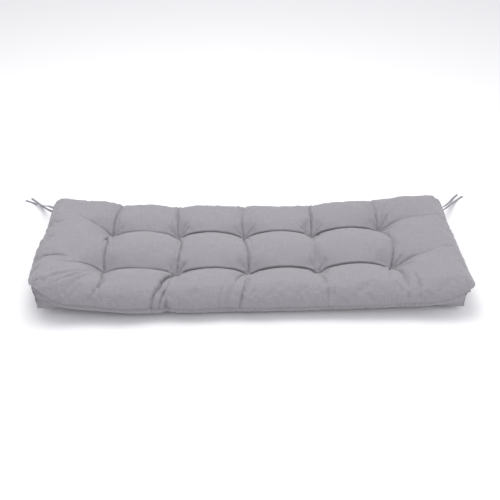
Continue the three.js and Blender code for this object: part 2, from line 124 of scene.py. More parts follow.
# The tie tapes
# Narrow flat tapes, folded and sewn from the cover's own cloth. A pair is caught in the seam of each
# rear corner, leaves it on edge and lies out flat on the floor, where its cut end is plain.
TAPE = {"width": 0.008, "thickness": 0.002, "sides": 16, "rings": 90, "square": 2.5, "hollow": 0.3,
        "hollow_power": 6, "girth": 2.4}
TAPE_TWIST = {"angle": math.radians(81), "until": 0.45}
TIES = [
    {"name": "tie_left_a", "root": (-0.6405, 0.2531, 0.078), "route": [
        (-0.672, 0.266, 0.073), (-0.700, 0.305, 0.056), (-0.733, 0.354, 0.029),
        (-0.765, 0.398, 0.009), (-0.787, 0.420, 0.002), (-0.817, 0.438, 0.0014)]},
    {"name": "tie_left_b", "root": (-0.6386, 0.2527, 0.062), "route": [
        (-0.679, 0.273, 0.053), (-0.702, 0.303, 0.042), (-0.731, 0.360, 0.018),
        (-0.752, 0.398, 0.005), (-0.773, 0.424, 0.002), (-0.798, 0.453, 0.0014)]},
    {"name": "tie_right_a", "root": (0.6463, 0.2530, 0.070), "route": [
        (0.684, 0.273, 0.057), (0.704, 0.302, 0.044), (0.728, 0.343, 0.030),
        (0.752, 0.394, 0.010), (0.770, 0.428, 0.002), (0.794, 0.458, 0.0014)]},
    {"name": "tie_right_b", "root": (0.6449, 0.2528, 0.057), "route": [
        (0.690, 0.275, 0.044), (0.714, 0.304, 0.037), (0.738, 0.345, 0.024),
        (0.765, 0.391, 0.008), (0.785, 0.420, 0.002), (0.811, 0.446, 0.0014)]},
]


# A wave texture at scale 1 repeats at this distance. A slub, which is a thicker stretch of a thread, is
# drawn out along the thread by this share. A spline is drawn in this many steps for each stretch.
WAVE_UNIT = math.pi / 10
SLUB_STRETCH = 0.05
SPLINE_STEPS = 40


def unit(vectors):
    return vectors / np.linalg.norm(vectors, axis=-1, keepdims=True)


def steps_along(line):
    """How far it is from each point of a line to the next."""
    return np.linalg.norm(np.diff(line, axis=0), axis=1)


def smooth_curve(places, count):
    """Evenly spaced points on the centripetal spline through some places."""
    places = np.array(places, float)
    p = np.vstack([2 * places[0] - places[1], places, 2 * places[-1] - places[-2]])
    gaps = steps_along(p)[:, None] ** 0.5
    drawn = []
    t = np.linspace(0, 1, SPLINE_STEPS, endpoint=False)[:, None]
    for k in range(1, len(places)):
        before, here, after = gaps[k - 1], gaps[k], gaps[k + 1]
        step = (p[k + 1] - p[k]) / here
        leave = (p[k] - p[k - 1]) / before - (p[k + 1] - p[k - 1]) / (before + here) + step
        arrive = step - (p[k + 2] - p[k]) / (here + after) + (p[k + 2] - p[k + 1]) / after
        drawn.append(
            (2 * t ** 3 - 3 * t ** 2 + 1) * p[k] + (3 * t ** 2 - 2 * t ** 3) * p[k + 1]
            + (t ** 3 - 2 * t ** 2 + t) * leave * here + (t ** 3 - t ** 2) * arrive * here
        )
    drawn = np.vstack([*drawn, places[-1:]])
    run = np.concatenate([[0], np.cumsum(steps_along(drawn))])
    wanted = np.linspace(0, run[-1], count)
    return np.stack([np.interp(wanted, run, line) for line in drawn.T], axis=1)


def smoothstep(x, low, high):
    t = np.clip((x - low) / (high - low), 0, 1)
    return t * t * (3 - 2 * t)


def mesh_with_uv(name, points, faces, face_uvs, material):
    """A smooth-shaded mesh object, with a place on the cloth for each corner of each face."""
    mesh = bpy.data.meshes.new(name)
    mesh.from_pydata([tuple(point) for point in points], [], faces)
    layer = mesh.uv_layers.new(name="cloth")
    layer.data.foreach_set("uv", np.asarray(face_uvs, np.float32).ravel())
    mesh.polygons.foreach_set("use_smooth", [True] * len(mesh.polygons))
    mesh.materials.append(material)
    return show(bpy.data.objects.new(name, mesh))


def add_node(tree, kind, links=(), **settings):
    """Adds a node. Settings are its own properties or its inputs. Each link has an input and what goes into
    it: an output socket, a node that gives its first output, or a plain value."""
    node = tree.nodes.new(kind)
    for name, value in settings.items():
        if hasattr(node, name):
            setattr(node, name, value)
        else:
            node.inputs[name.replace("_", " ")].default_value = value
    for name, source in links:
        if isinstance(source, bpy.types.Node):
            source = source.outputs[0]
        if isinstance(source, bpy.types.NodeSocket):
            tree.links.new(source, node.inputs[name])
        else:
            node.inputs[name].default_value = source
    return node


def weave(material, shader, pale, dark, thread, slub):
    """Plain weave on the cloth's own UV map: warp and weft raise it, and thicker threads tint it."""
    tree = material.node_tree
    uv = add_node(tree, "ShaderNodeUVMap", uv_map="cloth")
    waves, slubs = [], []
    across, along = 1 / slub, SLUB_STRETCH / slub
    for direction, stretch in (("X", (across, along, 1)), ("Y", (along, across, 1))):
        wave = add_node(tree, "ShaderNodeTexWave", [("Vector", uv)], bands_direction=direction,
                        Scale=WAVE_UNIT / thread, Distortion=1.2, Detail=2.0, Detail_Scale=1.4)
        waves.append(wave.outputs["Fac"])
        stretched = add_node(tree, "ShaderNodeMapping", [("Vector", uv)], Scale=stretch)
        thick = add_node(tree, "ShaderNodeTexNoise", [("Vector", stretched)], Scale=1.0, Detail=2.0,
                         Roughness=0.55)
        slubs.append(thick.outputs["Fac"])
    crossing = add_node(tree, "ShaderNodeMath", [(0, waves[0]), (1, waves[1])], operation="MAXIMUM")
    thick_ones = add_node(tree, "ShaderNodeMath", [(0, slubs[0]), (1, slubs[1])], operation="ADD")
    tone = add_node(tree, "ShaderNodeMapRange", [("Value", thick_ones)], From_Min=0.7, From_Max=1.3)
    tint = add_node(tree, "ShaderNodeMixRGB", [("Fac", tone)], Color1=linear(dark), Color2=linear(pale))
    rough = add_node(tree, "ShaderNodeMapRange", [("Value", tone)], To_Min=0.92, To_Max=0.78)
    raised = add_node(tree, "ShaderNodeMath", [(0, crossing), (1, tone)], operation="ADD")
    bump = add_node(tree, "ShaderNodeBump", [("Height", raised)], Strength=0.5, Distance=0.0004)
    for name, node in (("Base Color", tint), ("Roughness", rough), ("Normal", bump)):
        tree.links.new(node.outputs[0], shader.inputs[name])


def tape_mesh(name, centres, sides, material):
    """A tape round its line of centres: rounded edges, a little hollow along the middle where it is sewn."""
    ahead = unit(np.gradient(centres, axis=0))
    level_side = unit(np.stack([ahead[:, 1], -ahead[:, 0], np.zeros(len(ahead))], axis=1))
    upright = unit(np.cross(level_side, ahead))
    along = np.linspace(0, 1, len(centres))[:, None]
    turned = TAPE_TWIST["angle"] * (1 - smoothstep(along, 0, TAPE_TWIST["until"]))
    wide = level_side * np.cos(turned) + upright * np.sin(turned)
    thick = unit(np.cross(wide, ahead))
    points = []
    for angle in np.linspace(0, 2 * math.pi, sides, endpoint=False):
        c, s = math.cos(angle), math.sin(angle)
        across = math.copysign(abs(c) ** (2 / TAPE["square"]), c) * TAPE["width"] / 2
        full = math.copysign(abs(s) ** (2 / TAPE["square"]), s) * TAPE["thickness"] / 2
        up = full * (1 - TAPE["hollow"] * abs(s) ** TAPE["hollow_power"])
        points.append(centres + wide * across + thick * up)
    points = np.stack(points, axis=1).reshape(-1, 3)
    run = along[:, 0] * steps_along(centres).sum()
    faces, uvs = [], []
    for k in range(len(centres) - 1):
        for n in range(sides):
            m = (n + 1) % sides
            faces.append((k * sides + n, (k + 1) * sides + n, (k + 1) * sides + m, k * sides + m))
            girth = [x * TAPE["girth"] * TAPE["width"] / sides for x in (n, n + 1)]
            uvs += [(run[k], girth[0]), (run[k + 1], girth[0]), (run[k + 1], girth[1]), (run[k], girth[1])]
    last_ring = (len(centres) - 1) * sides
    for cap in (tuple(range(sides)), tuple(last_ring + n for n in reversed(range(sides)))):
        faces.append(cap)
        uvs += [(0.0, 0.0)] * sides
    return mesh_with_uv(name, points, faces, uvs, material)


# The cover's cloth again, cut in strips, folded and sewn: matt, with the cover's colours painted a little
# darker as painted shade.
shaded_tape_cloth, tape_shader = new_material("sewn_cloth_tape_painted_shade", 0.85, Sheen_Weight=0.15, Sheen_Roughness=0.6)
weave(shaded_tape_cloth, tape_shader, pale="#908c93", dark="#7f7b82", thread=0.0012, slub=0.0012)
for tie in TIES:
    root = np.array(tie["root"])
    squarely_out = root + np.array([np.sign(root[0]), 1, 0]) / math.sqrt(2) * TAPE["width"]
    centres = smooth_curve([root, squarely_out, *tie["route"]], TAPE["rings"]) + PATTERN_MIDDLE
    tape = tape_mesh("tape_" + tie["name"], centres, TAPE["sides"], shaded_tape_cloth)
    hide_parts(tie["name"])
    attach(tape, "root")

# The cushion
# One cover of woven cloth, filled with loose fibre: a top and a bottom panel, joined by a boxing strip
# whose seams run round the rim. Ten stitches pull the panels together and leave a pillow between them.

# Size between the corners of the top seam, then the rim: how high its widest line lies, how far the
# crown rises over it, how far it bulges out, and how far round it turns down to the seam.
LENGTH = 1.300
DEPTH = 0.500
WIDEST_HEIGHT = 0.050
CROWN_RISE = 0.052
SIDE_BULGE = 0.050
END_BULGE = 0.036
EAR_TURN = math.radians(35)
SIDE_TURN = math.radians(95)
END_TURN = math.radians(88)
CORNER_REACH = {"side": 0.280, "end": 0.190}
SEAM_CLIMB = {"side": 4.6, "end": 2}
# The bottom panel is drawn in under the rim, and each stitch draws it up a little.
UNDER_DEPTH = {"middle": 0.452, "corner": 0.496}
UNDER_LENGTH = {"middle": 1.264, "corner": 1.280}
UNDER_SEAM_HEIGHT = {"middle": 0.001, "corner": 0.002}
BOXING_SWELL = {"middle": 0.0095, "corner": -0.004}
UNDER_SHARE = {"depth": 0.17, "reach": 0.4}
UNDER_EDGE = 0.040
UNDER_TUFT_RISE = 0.012
UNDER_SAG = 0.3
# Beyond its start, each end of the cushion lifts off the floor and bows to the back.
LIFT = {"start": 0.150, "span": 0.500, "power": 1.5, "bow": 0.0064}
# How each corner lies: its lift off the floor, how far it splays outwards, the angle that it turns down
# by, how far it is tucked in, and how far its seam drops.
CORNERS = {
    (-1, 1): {"lift": 0.030, "splay": -0.003, "turn": EAR_TURN, "tuck": 0.0, "drop": 0.008},
    (-1, -1): {"lift": 0.028, "splay": -0.006, "turn": EAR_TURN, "tuck": 0.0, "drop": -0.006},
    (1, 1): {"lift": 0.030, "splay": 0.004, "turn": EAR_TURN, "tuck": 0.0, "drop": 0.012},
    (1, -1): {"lift": 0.020, "splay": 0.013, "turn": math.radians(58), "tuck": 0.016, "drop": 0.0},
}
# How far the front and the left end swell outwards, at places along them.
FRONT_SWELL = {
    "place": [-0.650, -0.600, -0.540, -0.335, -0.274, -0.250, -0.111, 0.020, 0.111, 0.335, 0.540, 0.650],
    "top": [0.0, 0.006, 0.012, 0.013, 0.011, 0.004, 0.003, 0.001, -0.003, 0.0, 0.007, 0.0],
    "under": [0.0, 0.004, 0.008, 0.013, 0.011, 0.000, 0.000, -0.007, -0.006, -0.010, -0.004, 0.0],
}
LEFT_SWELL = {"place": [-0.250, -0.200, -0.140, -0.090, -0.050, -0.010, 0.050],
              "top": [0.0, 0.001, 0.006, 0.010, 0.011, 0.006, 0.0]}
ROW_GAP = 0.204
COLUMN_GAP = 0.223

# A stitch pulls down a small flat seat. The blend starts and ends at these many half seats from it.
SEAT_HALF = 0.006
SEAT_BLEND = {"top": (0.15, 1.15), "under": (1.42, 4), "creases": (0.5, 1.5)}
TUFT_SINK = 0.054
DIMPLE = {"depth": 0.005, "reach": 0.024}
TUFTS = {
    "back": [(-0.448, 0.096), (-0.229, 0.099), (-0.010, 0.101), (0.215, 0.103), (0.440, 0.113)],
    "front": [(-0.450, -0.107), (-0.224, -0.107), (0.002, -0.102), (0.220, -0.099), (0.448, -0.097)],
}

# Valleys between the pillows: a hollow with a crevice at its bottom where the pillows meet. Close to a
# tuft, and all along a soft valley, there is the hollow alone. Each valley has its depth at the middle and
# at the end, and the places that it passes. Each kind has the share of the crevice on either side of it,
# and the share of the depth and the half width of the pinched gap where two pillows touch.
VALLEY = {"reach": 0.100, "power": 1.7, "crevice_reach": 0.0055, "cone_ends": (0.002, 0.105),
          "at_tuft": 0.041, "points": 17}
KINDS = {
    "row": {"near": 0.36, "far": 0.34, "pinch": 0.42, "half": 0.0048},
    "open": {"near": 0.32, "far": 0.18, "pinch": 0.22, "half": 0.0036},
    "deep": {"near": 0.22, "far": 0.10, "pinch": 0.44, "half": 0.0042},
    "line": {"near": 0.06, "far": 0.06, "pinch": 0.30, "half": 0.0034},
    "fine": {"near": 0.0, "far": 0.0, "pinch": 0.25, "half": 0.0032},
    "soft": {"near": 0.0, "far": 0.0, "pinch": 0.0, "half": 0.0040},
}
MM_IN_M = 1000

# Where valleys meet, their depths join by this power, so that the deeper one counts.
JOIN_POWER = 4
ALONG_ROWS = {
    "back": [(0.042, "open"), (0.044, "row"), (0.044, "row"), (0.045, "row")],
    "front": [(0.049, "open"), (0.048, "row"), (0.050, "row"), (0.040, "row")],
}
BETWEEN_ROWS = [
    {"middle": 0.020, "kind": "line", "via": [(-0.456, 0.045), (-0.452, 0.0), (-0.455, -0.060)]},
    {"middle": 0.014, "kind": "fine", "via": [(-0.218, 0.040), (-0.214, -0.005), (-0.220, -0.055)]},
    {"middle": 0.016, "kind": "line", "via": [(-0.012, 0.060), (-0.006, 0.010), (0.002, -0.045)]},
    {"middle": 0.009, "kind": "soft", "via": [(0.214, 0.040), (0.219, -0.030)]},
    {"middle": 0.019, "kind": "line",
     "via": [(0.452, 0.072), (0.463, 0.024), (0.464, -0.020), (0.456, -0.065)]},
]
TO_SEAMS = [
    {"kind": "line", "middle": 0.022, "end": 0.007,
     "via": [("back", 0), (-0.447, 0.120), (-0.443, 0.166), (-0.431, 0.218),
             (-0.425, 0.250), (-0.424, 0.290)]},
    {"kind": "fine", "middle": 0.016, "end": 0.011,
     "via": [("back", 1), (-0.234, 0.160), (-0.236, 0.230), (-0.238, 0.300)]},
    {"kind": "fine", "middle": 0.014, "end": 0.004,
     "via": [("back", 2), (-0.017, 0.150), (-0.014, 0.210), (-0.002, 0.290)]},
    {"kind": "line", "middle": 0.013, "end": 0.008,
     "via": [("back", 3), (0.217, 0.150), (0.216, 0.220), (0.216, 0.300)]},
    {"kind": "fine", "middle": 0.007, "end": 0.001,
     "via": [("back", 4), (0.437, 0.160), (0.430, 0.220), (0.424, 0.280)]},
    {"kind": "fine", "middle": 0.017, "end": 0.008,
     "via": [("front", 0), (-0.452, -0.135), (-0.446, -0.180), (-0.443, -0.215),
             (-0.458, -0.252), (-0.474, -0.285)]},
    {"kind": "deep", "middle": 0.023, "end": 0.009,
     "via": [("front", 1), (-0.238, -0.128), (-0.256, -0.170), (-0.268, -0.218),
             (-0.286, -0.270), (-0.294, -0.325)]},
    {"kind": "line", "middle": 0.014, "end": 0.006,
     "via": [("front", 2), (-0.006, -0.130), (-0.030, -0.165), (-0.047, -0.215),
             (-0.062, -0.265), (-0.072, -0.320)]},
    {"kind": "soft", "middle": 0.009, "end": 0.003,
     "via": [("front", 3), (0.223, -0.150), (0.231, -0.215), (0.236, -0.290)]},
    {"kind": "line", "middle": 0.018, "end": 0.006,
     "via": [("front", 4), (0.452, -0.118), (0.465, -0.155), (0.472, -0.205), (0.470, -0.290)]},
    {"kind": "line", "middle": 0.018, "end": 0.002,
     "via": [("back", 0), (-0.463, 0.104), (-0.505, 0.117), (-0.566, 0.137)]},
    {"kind": "line", "middle": 0.018, "end": 0.003,
     "via": [("front", 0), (-0.475, -0.104), (-0.502, -0.107), (-0.528, -0.118),
             (-0.556, -0.128), (-0.590, -0.134)]},
    {"kind": "fine", "middle": 0.017, "end": 0.003,
     "via": [("back", 4), (0.470, 0.120), (0.510, 0.128), (0.560, 0.126), (0.640, 0.112)]},
    {"kind": "fine", "middle": 0.018, "end": 0.003,
     "via": [("front", 4), (0.480, -0.092), (0.510, -0.085), (0.552, -0.080), (0.600, -0.070)]},
]
FOLDS = [
    {"reach": 0.046, "depths": (0.010, 0.010, 0.005),
     "via": [(-0.458, -0.165), (-0.488, -0.214), (-0.515, -0.262)]},
    {"reach": 0.042, "depths": (0.003, 0.009, 0.007),
     "via": [(-0.555, -0.103), (-0.598, -0.098), (-0.631, -0.105), (-0.660, -0.118)]},
    {"reach": 0.028, "depths": (0.004, 0.008, 0.007),
     "via": [(-0.232, -0.195), (-0.253, -0.262), (-0.267, -0.303)]},
    {"reach": 0.028, "depths": (0.002, 0.008, 0.014),
     "via": [(-0.240, -0.255), (-0.248, -0.320)]},
    {"reach": 0.030, "depths": (0.003, 0.006, 0.005),
     "via": [(-0.006, -0.200), (-0.020, -0.269), (-0.028, -0.305)]},
]
# How much fuller the middle of each pillow is, in three bands from the back to the front.
FULLNESS = [
    {"y": 0.200, "rises": [-0.006, -0.009, -0.006, -0.010, 0.001, 0.005]},
    {"y": 0.0, "rises": [0.001, 0.0, -0.002, 0.0, 0.001, 0.0]},
    {"y": -0.200, "rises": [0.004, 0.0, 0.001, 0.0, 0.001, 0.002]},
]
# Steps of the coarser net of points: how many lie between two tufts, from the outer tufts to the rim, and
# round the rim. They crowd towards the tufts.
STEPS = {
    "columns": {"between": 19, "outer": 17, "roll": 7},
    "rows": {"between": 17, "outer": 12, "roll": 8},
    "boxing": 4,
}
CROWDING = {"between": 0.45, "outer": 0.2}

flat_half = np.array([
    LENGTH / 2 - END_BULGE * math.sin(EAR_TURN),
    DEPTH / 2 - SIDE_BULGE * math.sin(EAR_TURN),
])
roll_radius = np.array([(END_BULGE + CROWN_RISE) / 2, (SIDE_BULGE + CROWN_RISE) / 2])
column_places = [k * COLUMN_GAP for k in (-2, -1, 0, 1, 2)]
row_places = [-ROW_GAP / 2, ROW_GAP / 2]
tuft_places = {row: np.array(TUFTS[row]) for row in TUFTS}
all_tufts = np.vstack([tuft_places["back"], tuft_places["front"]])


def lerp(a, b, share):
    return a + (b - a) * share


def panel_lines(tufts, half, steps, finer):
    """Lines across a panel: their side, their place on its flat, and how far round the roll they lie."""
    stops = [-half, *[t + s for t in tufts for s in (-SEAT_HALF, SEAT_HALF)], half]
    flats = [stops[0]]
    for k in range(1, len(stops)):
        part = "outer" if k in (1, len(stops) - 1) else "between"
        count = finer * (2 if k % 2 == 0 else steps[part])
        even = np.arange(1, count + 1) / count
        crowded = (1 - np.cos(math.pi * even)) / 2
        crowding = 0 if k % 2 == 0 else CROWDING[part]
        flats += list(lerp(stops[k - 1], stops[k], lerp(even, crowded, crowding)))
    rolls = np.arange(1, steps["roll"] * finer + 1) / (steps["roll"] * finer)
    flats = np.array(flats)
    return {
        "side": np.concatenate([-np.ones(len(rolls)), np.sign(flats), np.ones(len(rolls))]),
        "flat": np.concatenate([-half * np.ones(len(rolls)), flats, half * np.ones(len(rolls))]),
        "roll": np.concatenate([rolls[::-1], np.zeros(len(flats)), rolls]),
    }


def drift(x, y):
    """Draws the lines aside so that they pass through each tuft where it really is."""
    moved_x, moved_y = x.copy(), y.copy()
    for row, row_y in zip(("front", "back"), row_places):
        outside = (np.abs(y) > abs(row_y)) & (np.sign(y) == math.copysign(1, row_y))
        reach = np.where(outside, flat_half[1] - ROW_GAP / 2, ROW_GAP)
        row_share = np.clip(1 - np.abs(y - row_y) / reach, 0, 1)
        for tuft, column_x in zip(tuft_places[row], column_places):
            share = row_share * np.clip(1 - np.abs(x - column_x) / COLUMN_GAP, 0, 1)
            moved_x += share * (tuft[0] - column_x)
            moved_y += share * (tuft[1] - row_y)
    return moved_x, moved_y


def from_line(x, y, places):
    """Distance from a line on the panel, the share of the way along it, and which side of it."""
    away = np.full(x.shape, np.inf)
    along = np.zeros(x.shape)
    side = np.zeros(x.shape)
    for k, (start, end) in enumerate(zip(places[:-1], places[1:])):
        step = end - start
        t = np.clip(((x - start[0]) * step[0] + (y - start[1]) * step[1]) / (step @ step), 0, 1)
        gap_x, gap_y = x - start[0] - t * step[0], y - start[1] - t * step[1]
        distance = np.hypot(gap_x, gap_y)
        nearer = distance < away
        away = np.where(nearer, distance, away)
        along = np.where(nearer, (k + t) / (len(places) - 1), along)
        side = np.where(nearer, np.sign(step[0] * gap_y - step[1] * gap_x), side)
    return away, along, side


def along_share(along, start, middle, end):
    return np.interp(along, [0, 0.5, 1], [start, middle, end])


at_tuft = VALLEY["at_tuft"]
valleys = []


def tuft_or_place(way):
    return tuft_places[way[0]][way[1]] if isinstance(way[0], str) else way


def add_valley(ways, depths, kind, reach=VALLEY["reach"]):
    line = smooth_curve([tuft_or_place(way) for way in ways], VALLEY["points"])
    valleys.append((line, depths, kind, reach))


for row in ("back", "front"):
    for n, (middle, kind) in enumerate(ALONG_ROWS[row]):
        add_valley([(row, n), (row, n + 1)], (at_tuft, middle, at_tuft), kind)
for n, each in enumerate(BETWEEN_ROWS):
    add_valley([("back", n), *each["via"], ("front", n)], (at_tuft, each["middle"], at_tuft), each["kind"])
for each in TO_SEAMS:
    add_valley(each["via"], (at_tuft, each["middle"], each["end"]), each["kind"])
for each in FOLDS:
    add_valley(each["via"], each["depths"], "soft", each["reach"])


def nearest_tuft(x, y):
    return np.min([np.hypot(x - tuft[0], y - tuft[1]) for tuft in all_tufts], axis=0)


def beyond_seat(x, y, what):
    """Nothing on the seat of a tuft, and all of it beside the seat."""
    start, end = SEAT_BLEND[what]
    return smoothstep(nearest_tuft(x, y), SEAT_HALF * start, SEAT_HALF * end)


def fold_depth(x, y, reach_share):
    total = np.zeros(x.shape)
    beyond_tuft = smoothstep(nearest_tuft(x, y), *VALLEY["cone_ends"])
    for places, depths, kind, reach in valleys:
        away, along, side = from_line(x, y, places)
        hollow = np.clip(1 - away / (reach * reach_share), 0, 1) ** VALLEY["power"]
        crevice = np.clip(1 - away / VALLEY["crevice_reach"], 0, 1)
        share = np.where(side < 0, KINDS[kind]["near"], KINDS[kind]["far"]) * beyond_tuft
        total += (along_share(along, *depths) * lerp(hollow, crevice, share) * MM_IN_M) ** JOIN_POWER
    return total ** (1 / JOIN_POWER) / MM_IN_M


def top_depth(x, y):
    dimple = DIMPLE["depth"] * np.clip(1 - nearest_tuft(x, y) / DIMPLE["reach"], 0, 1) ** 2
    deepest = np.minimum(fold_depth(x, y, 1) + dimple, TUFT_SINK)
    return lerp(TUFT_SINK, deepest, beyond_seat(x, y, "top"))


def fullness(x, y):
    rise = np.zeros(x.shape)
    for band in FULLNESS:
        across = np.clip(1 - ((y - band["y"]) / (ROW_GAP / 2)) ** 2, 0, 1) ** 2
        for n, amount in enumerate(band["rises"]):
            centre = (n - (len(band["rises"]) - 1) / 2) * COLUMN_GAP
            rise += amount * across * np.clip(1 - ((x - centre) / (COLUMN_GAP / 2)) ** 2, 0, 1) ** 2
    return rise


def near_corner(line, bulge, length, reach, climb):
    place = np.abs(line["flat"]) + bulge * math.sin(EAR_TURN) * line["roll"]
    return np.clip((place - length / 2 + reach) / reach, 0, 1) ** climb


def corner_value(name, x_side, y_side):
    """A corner's value for each point, by the sides that it is on."""
    return np.where(
        x_side < 0,
        np.where(y_side < 0, CORNERS[-1, -1][name], CORNERS[-1, 1][name]),
        np.where(y_side < 0, CORNERS[1, -1][name], CORNERS[1, 1][name]),
    )


def settle(points):
    """Ends lifted off the floor, splayed and bowed to the back."""
    x, y, z = points[..., 0], points[..., 1], points[..., 2]
    back_share = np.clip(y / DEPTH + 0.5, 0, 1)
    t = np.maximum(0, (np.abs(x) - LIFT["start"]) / LIFT["span"]) ** LIFT["power"]
    front, back = -np.ones(x.shape), np.ones(x.shape)
    lift = lerp(corner_value("lift", x, front), corner_value("lift", x, back), back_share)
    splay = lerp(corner_value("splay", x, front), corner_value("splay", x, back), back_share)
    moved = [x + np.sign(x) * t ** 2 * splay, y + LIFT["bow"] * t, np.maximum(0, z + t * lift)]
    return np.stack(moved, axis=-1)


def swelling(table, panel, along):
    """How far an edge of a panel swells outwards, smoothly from one place of the table to the next."""
    places, outs = table["place"], table[panel]
    n = np.clip(np.searchsorted(places, along, side="right"), 1, len(places) - 1)
    low, high = np.take(places, n - 1), np.take(places, n)
    swell = lerp(np.take(outs, n - 1), np.take(outs, n), smoothstep(along, low, high))
    return np.where((along > places[0]) & (along < places[-1]), swell, 0)


# The cloth is cut from one piece: how far from the top panel the others lie on its pattern.
CUT = {"under": 1.5, "boxing": -1.0, "boxing_height": 0.05}


class Cover:
    """The cover's panels at one fineness: places on the panels, and points before they settle."""

    def __init__(self, finer):
        columns = panel_lines(column_places, flat_half[0], STEPS["columns"], finer)
        rows = panel_lines(row_places, flat_half[1], STEPS["rows"], finer)
        self.column = {name: values[:, None] for name, values in columns.items()}
        self.row = {name: values[None, :] for name, values in rows.items()}
        self.finer = finer
        self.shape = (len(columns["flat"]), len(rows["flat"]))
        self.boxing_steps = STEPS["boxing"] * finer
        self.on_side = near_corner(self.column, END_BULGE, LENGTH, CORNER_REACH["side"], SEAM_CLIMB["side"])
        self.on_end = near_corner(self.row, SIDE_BULGE, DEPTH, CORNER_REACH["end"], SEAM_CLIMB["end"])
        self.make_top()
        self.make_under()
        self.make_boxing()

    def full(self, values):
        return np.broadcast_to(values, self.shape).astype(float)

    def make_top(self):
        side_x, side_y = self.full(self.column["side"]), self.full(self.row["side"])
        turn = corner_value("turn", side_x, side_y)
        end_angle = self.column["roll"] * lerp(END_TURN, turn, self.on_end)
        side_angle = self.row["roll"] * lerp(SIDE_TURN, turn, self.on_side)
        flat_x, flat_y = drift(self.full(self.column["flat"]), self.full(self.row["flat"]))
        self.place_x = flat_x + side_x * roll_radius[0] * end_angle
        self.place_y = flat_y + side_y * roll_radius[1] * side_angle
        x, y = self.place_x, self.place_y
        self.from_seam = np.min([x - x[:1], x[-1:] - x, y - y[:, :1], y[:, -1:] - y], axis=0)
        rise = np.cos(end_angle) * np.cos(side_angle)
        side_bulge = SIDE_BULGE + np.where(side_y < 0, swelling(FRONT_SWELL, "top", flat_x), 0)
        end_bulge = END_BULGE + np.where(side_x < 0, swelling(LEFT_SWELL, "top", flat_y), 0)
        drop = corner_value("drop", side_x, side_y) * (self.on_side * self.on_end) ** 2
        tuck = corner_value("tuck", side_x, side_y) * (self.column["roll"] * self.row["roll"]) ** 2
        outward = unit(np.stack([side_x * np.sin(end_angle), side_y * np.sin(side_angle), rise], axis=-1))
        point = np.stack([
            flat_x + side_x * (end_bulge * np.sin(end_angle) - tuck),
            flat_y + side_y * (side_bulge * np.sin(side_angle) - tuck),
            WIDEST_HEIGHT + CROWN_RISE * rise - drop,
        ], axis=-1)
        amount = fullness(self.place_x, self.place_y) - top_depth(self.place_x, self.place_y)
        self.top = point + outward * amount[..., None]

    def make_under(self):
        def drawn_in(line, half, radius, turn, tuft_edge, seam):
            across = np.abs(line["flat"]) + line["roll"] * radius * turn
            whole = half + radius * turn
            outer = line["side"] * lerp(tuft_edge, seam, (across - tuft_edge) / (whole - tuft_edge))
            return np.where(across <= tuft_edge, line["flat"], outer)

        edges = [2 * COLUMN_GAP + SEAT_HALF, ROW_GAP / 2 + SEAT_HALF]
        seam_x = lerp(UNDER_LENGTH["middle"], UNDER_LENGTH["corner"], self.on_end) / 2
        swell = np.where(self.row["side"] < 0, swelling(FRONT_SWELL, "under", self.column["flat"]), 0)
        seam_y = lerp(UNDER_DEPTH["middle"], UNDER_DEPTH["corner"], self.on_side) / 2 + swell
        x = drawn_in(self.column, flat_half[0], roll_radius[0], END_TURN, edges[0], seam_x)
        y = drawn_in(self.row, flat_half[1], roll_radius[1], SIDE_TURN, edges[1], seam_y)
        x, y = self.full(x), self.full(y)
        place_x, place_y = drift(x, y)
        corner = np.maximum(self.on_end, self.on_side)
        seam_height = lerp(UNDER_SEAM_HEIGHT["middle"], UNDER_SEAM_HEIGHT["corner"], corner)
        edge = np.minimum(seam_x - np.abs(x), seam_y - np.abs(y))
        near_seam = np.clip(1 - edge / UNDER_EDGE, 0, 1) ** 2
        lift = settle(np.stack([place_x, place_y, np.zeros(self.shape)], axis=-1))[..., 2]
        fold = UNDER_SHARE["depth"] * fold_depth(place_x, place_y, UNDER_SHARE["reach"])
        drawn_up = lerp(UNDER_TUFT_RISE, fold, beyond_seat(place_x, place_y, "under"))
        height = np.maximum(drawn_up, seam_height * near_seam)
        height = height - UNDER_SAG * lift * (1 - near_seam)
        self.under = np.stack([place_x, place_y, height], axis=-1)

    def make_boxing(self):
        """Lines down the boxing strip, all the way round: each runs from the top seam to the bottom one."""
        last_i, last_j = self.shape[0] - 1, self.shape[1] - 1
        rim = [(i, 0, 0, -1) for i in range(last_i)] + [(last_i, j, 1, 0) for j in range(last_j)]
        rim += [(i, last_j, 0, 1) for i in range(last_i, 0, -1)]
        rim += [(0, j, -1, 0) for j in range(last_j, 0, -1)]
        self.rim = np.array([(i, j) for i, j, _, _ in rim])
        i, j = self.rim.T
        out = np.zeros((len(rim), 3))
        out[:, 0] = np.where((i == 0) | (i == last_i), self.column["side"][i, 0], 0)
        out[:, 1] = np.where((j == 0) | (j == last_j), self.row["side"][0, j], 0)
        out = unit(out)
        at_end = np.where(out[:, 0] != 0, self.on_end[0, j], 0)
        at_side = np.where(out[:, 1] != 0, self.on_side[i, 0], 0)
        closeness = np.maximum(at_end, at_side)
        top, under = self.top[i, j], self.under[i, j]
        drop = under - top
        level_drop = (drop * out).sum(axis=1)
        chord = np.hypot(level_drop, drop[:, 2])
        across = out * (-drop[:, 2] / chord)[:, None]
        across[:, 2] = level_drop / chord
        share = np.linspace(0, 1, self.boxing_steps + 1)[None, :]
        swell = lerp(BOXING_SWELL["middle"], BOXING_SWELL["corner"], closeness)[:, None]
        swell = (swell * 4 * share * (1 - share))[..., None]
        self.boxing = lerp(top[:, None], under[:, None], share[..., None]) + across[:, None] * swell
        seam_run = np.concatenate([[0], np.cumsum(steps_along(top))])
        self.rim_run = np.append(seam_run, seam_run[-1] + np.linalg.norm(top[0] - top[-1]))
        self.boxing_share = share[0]


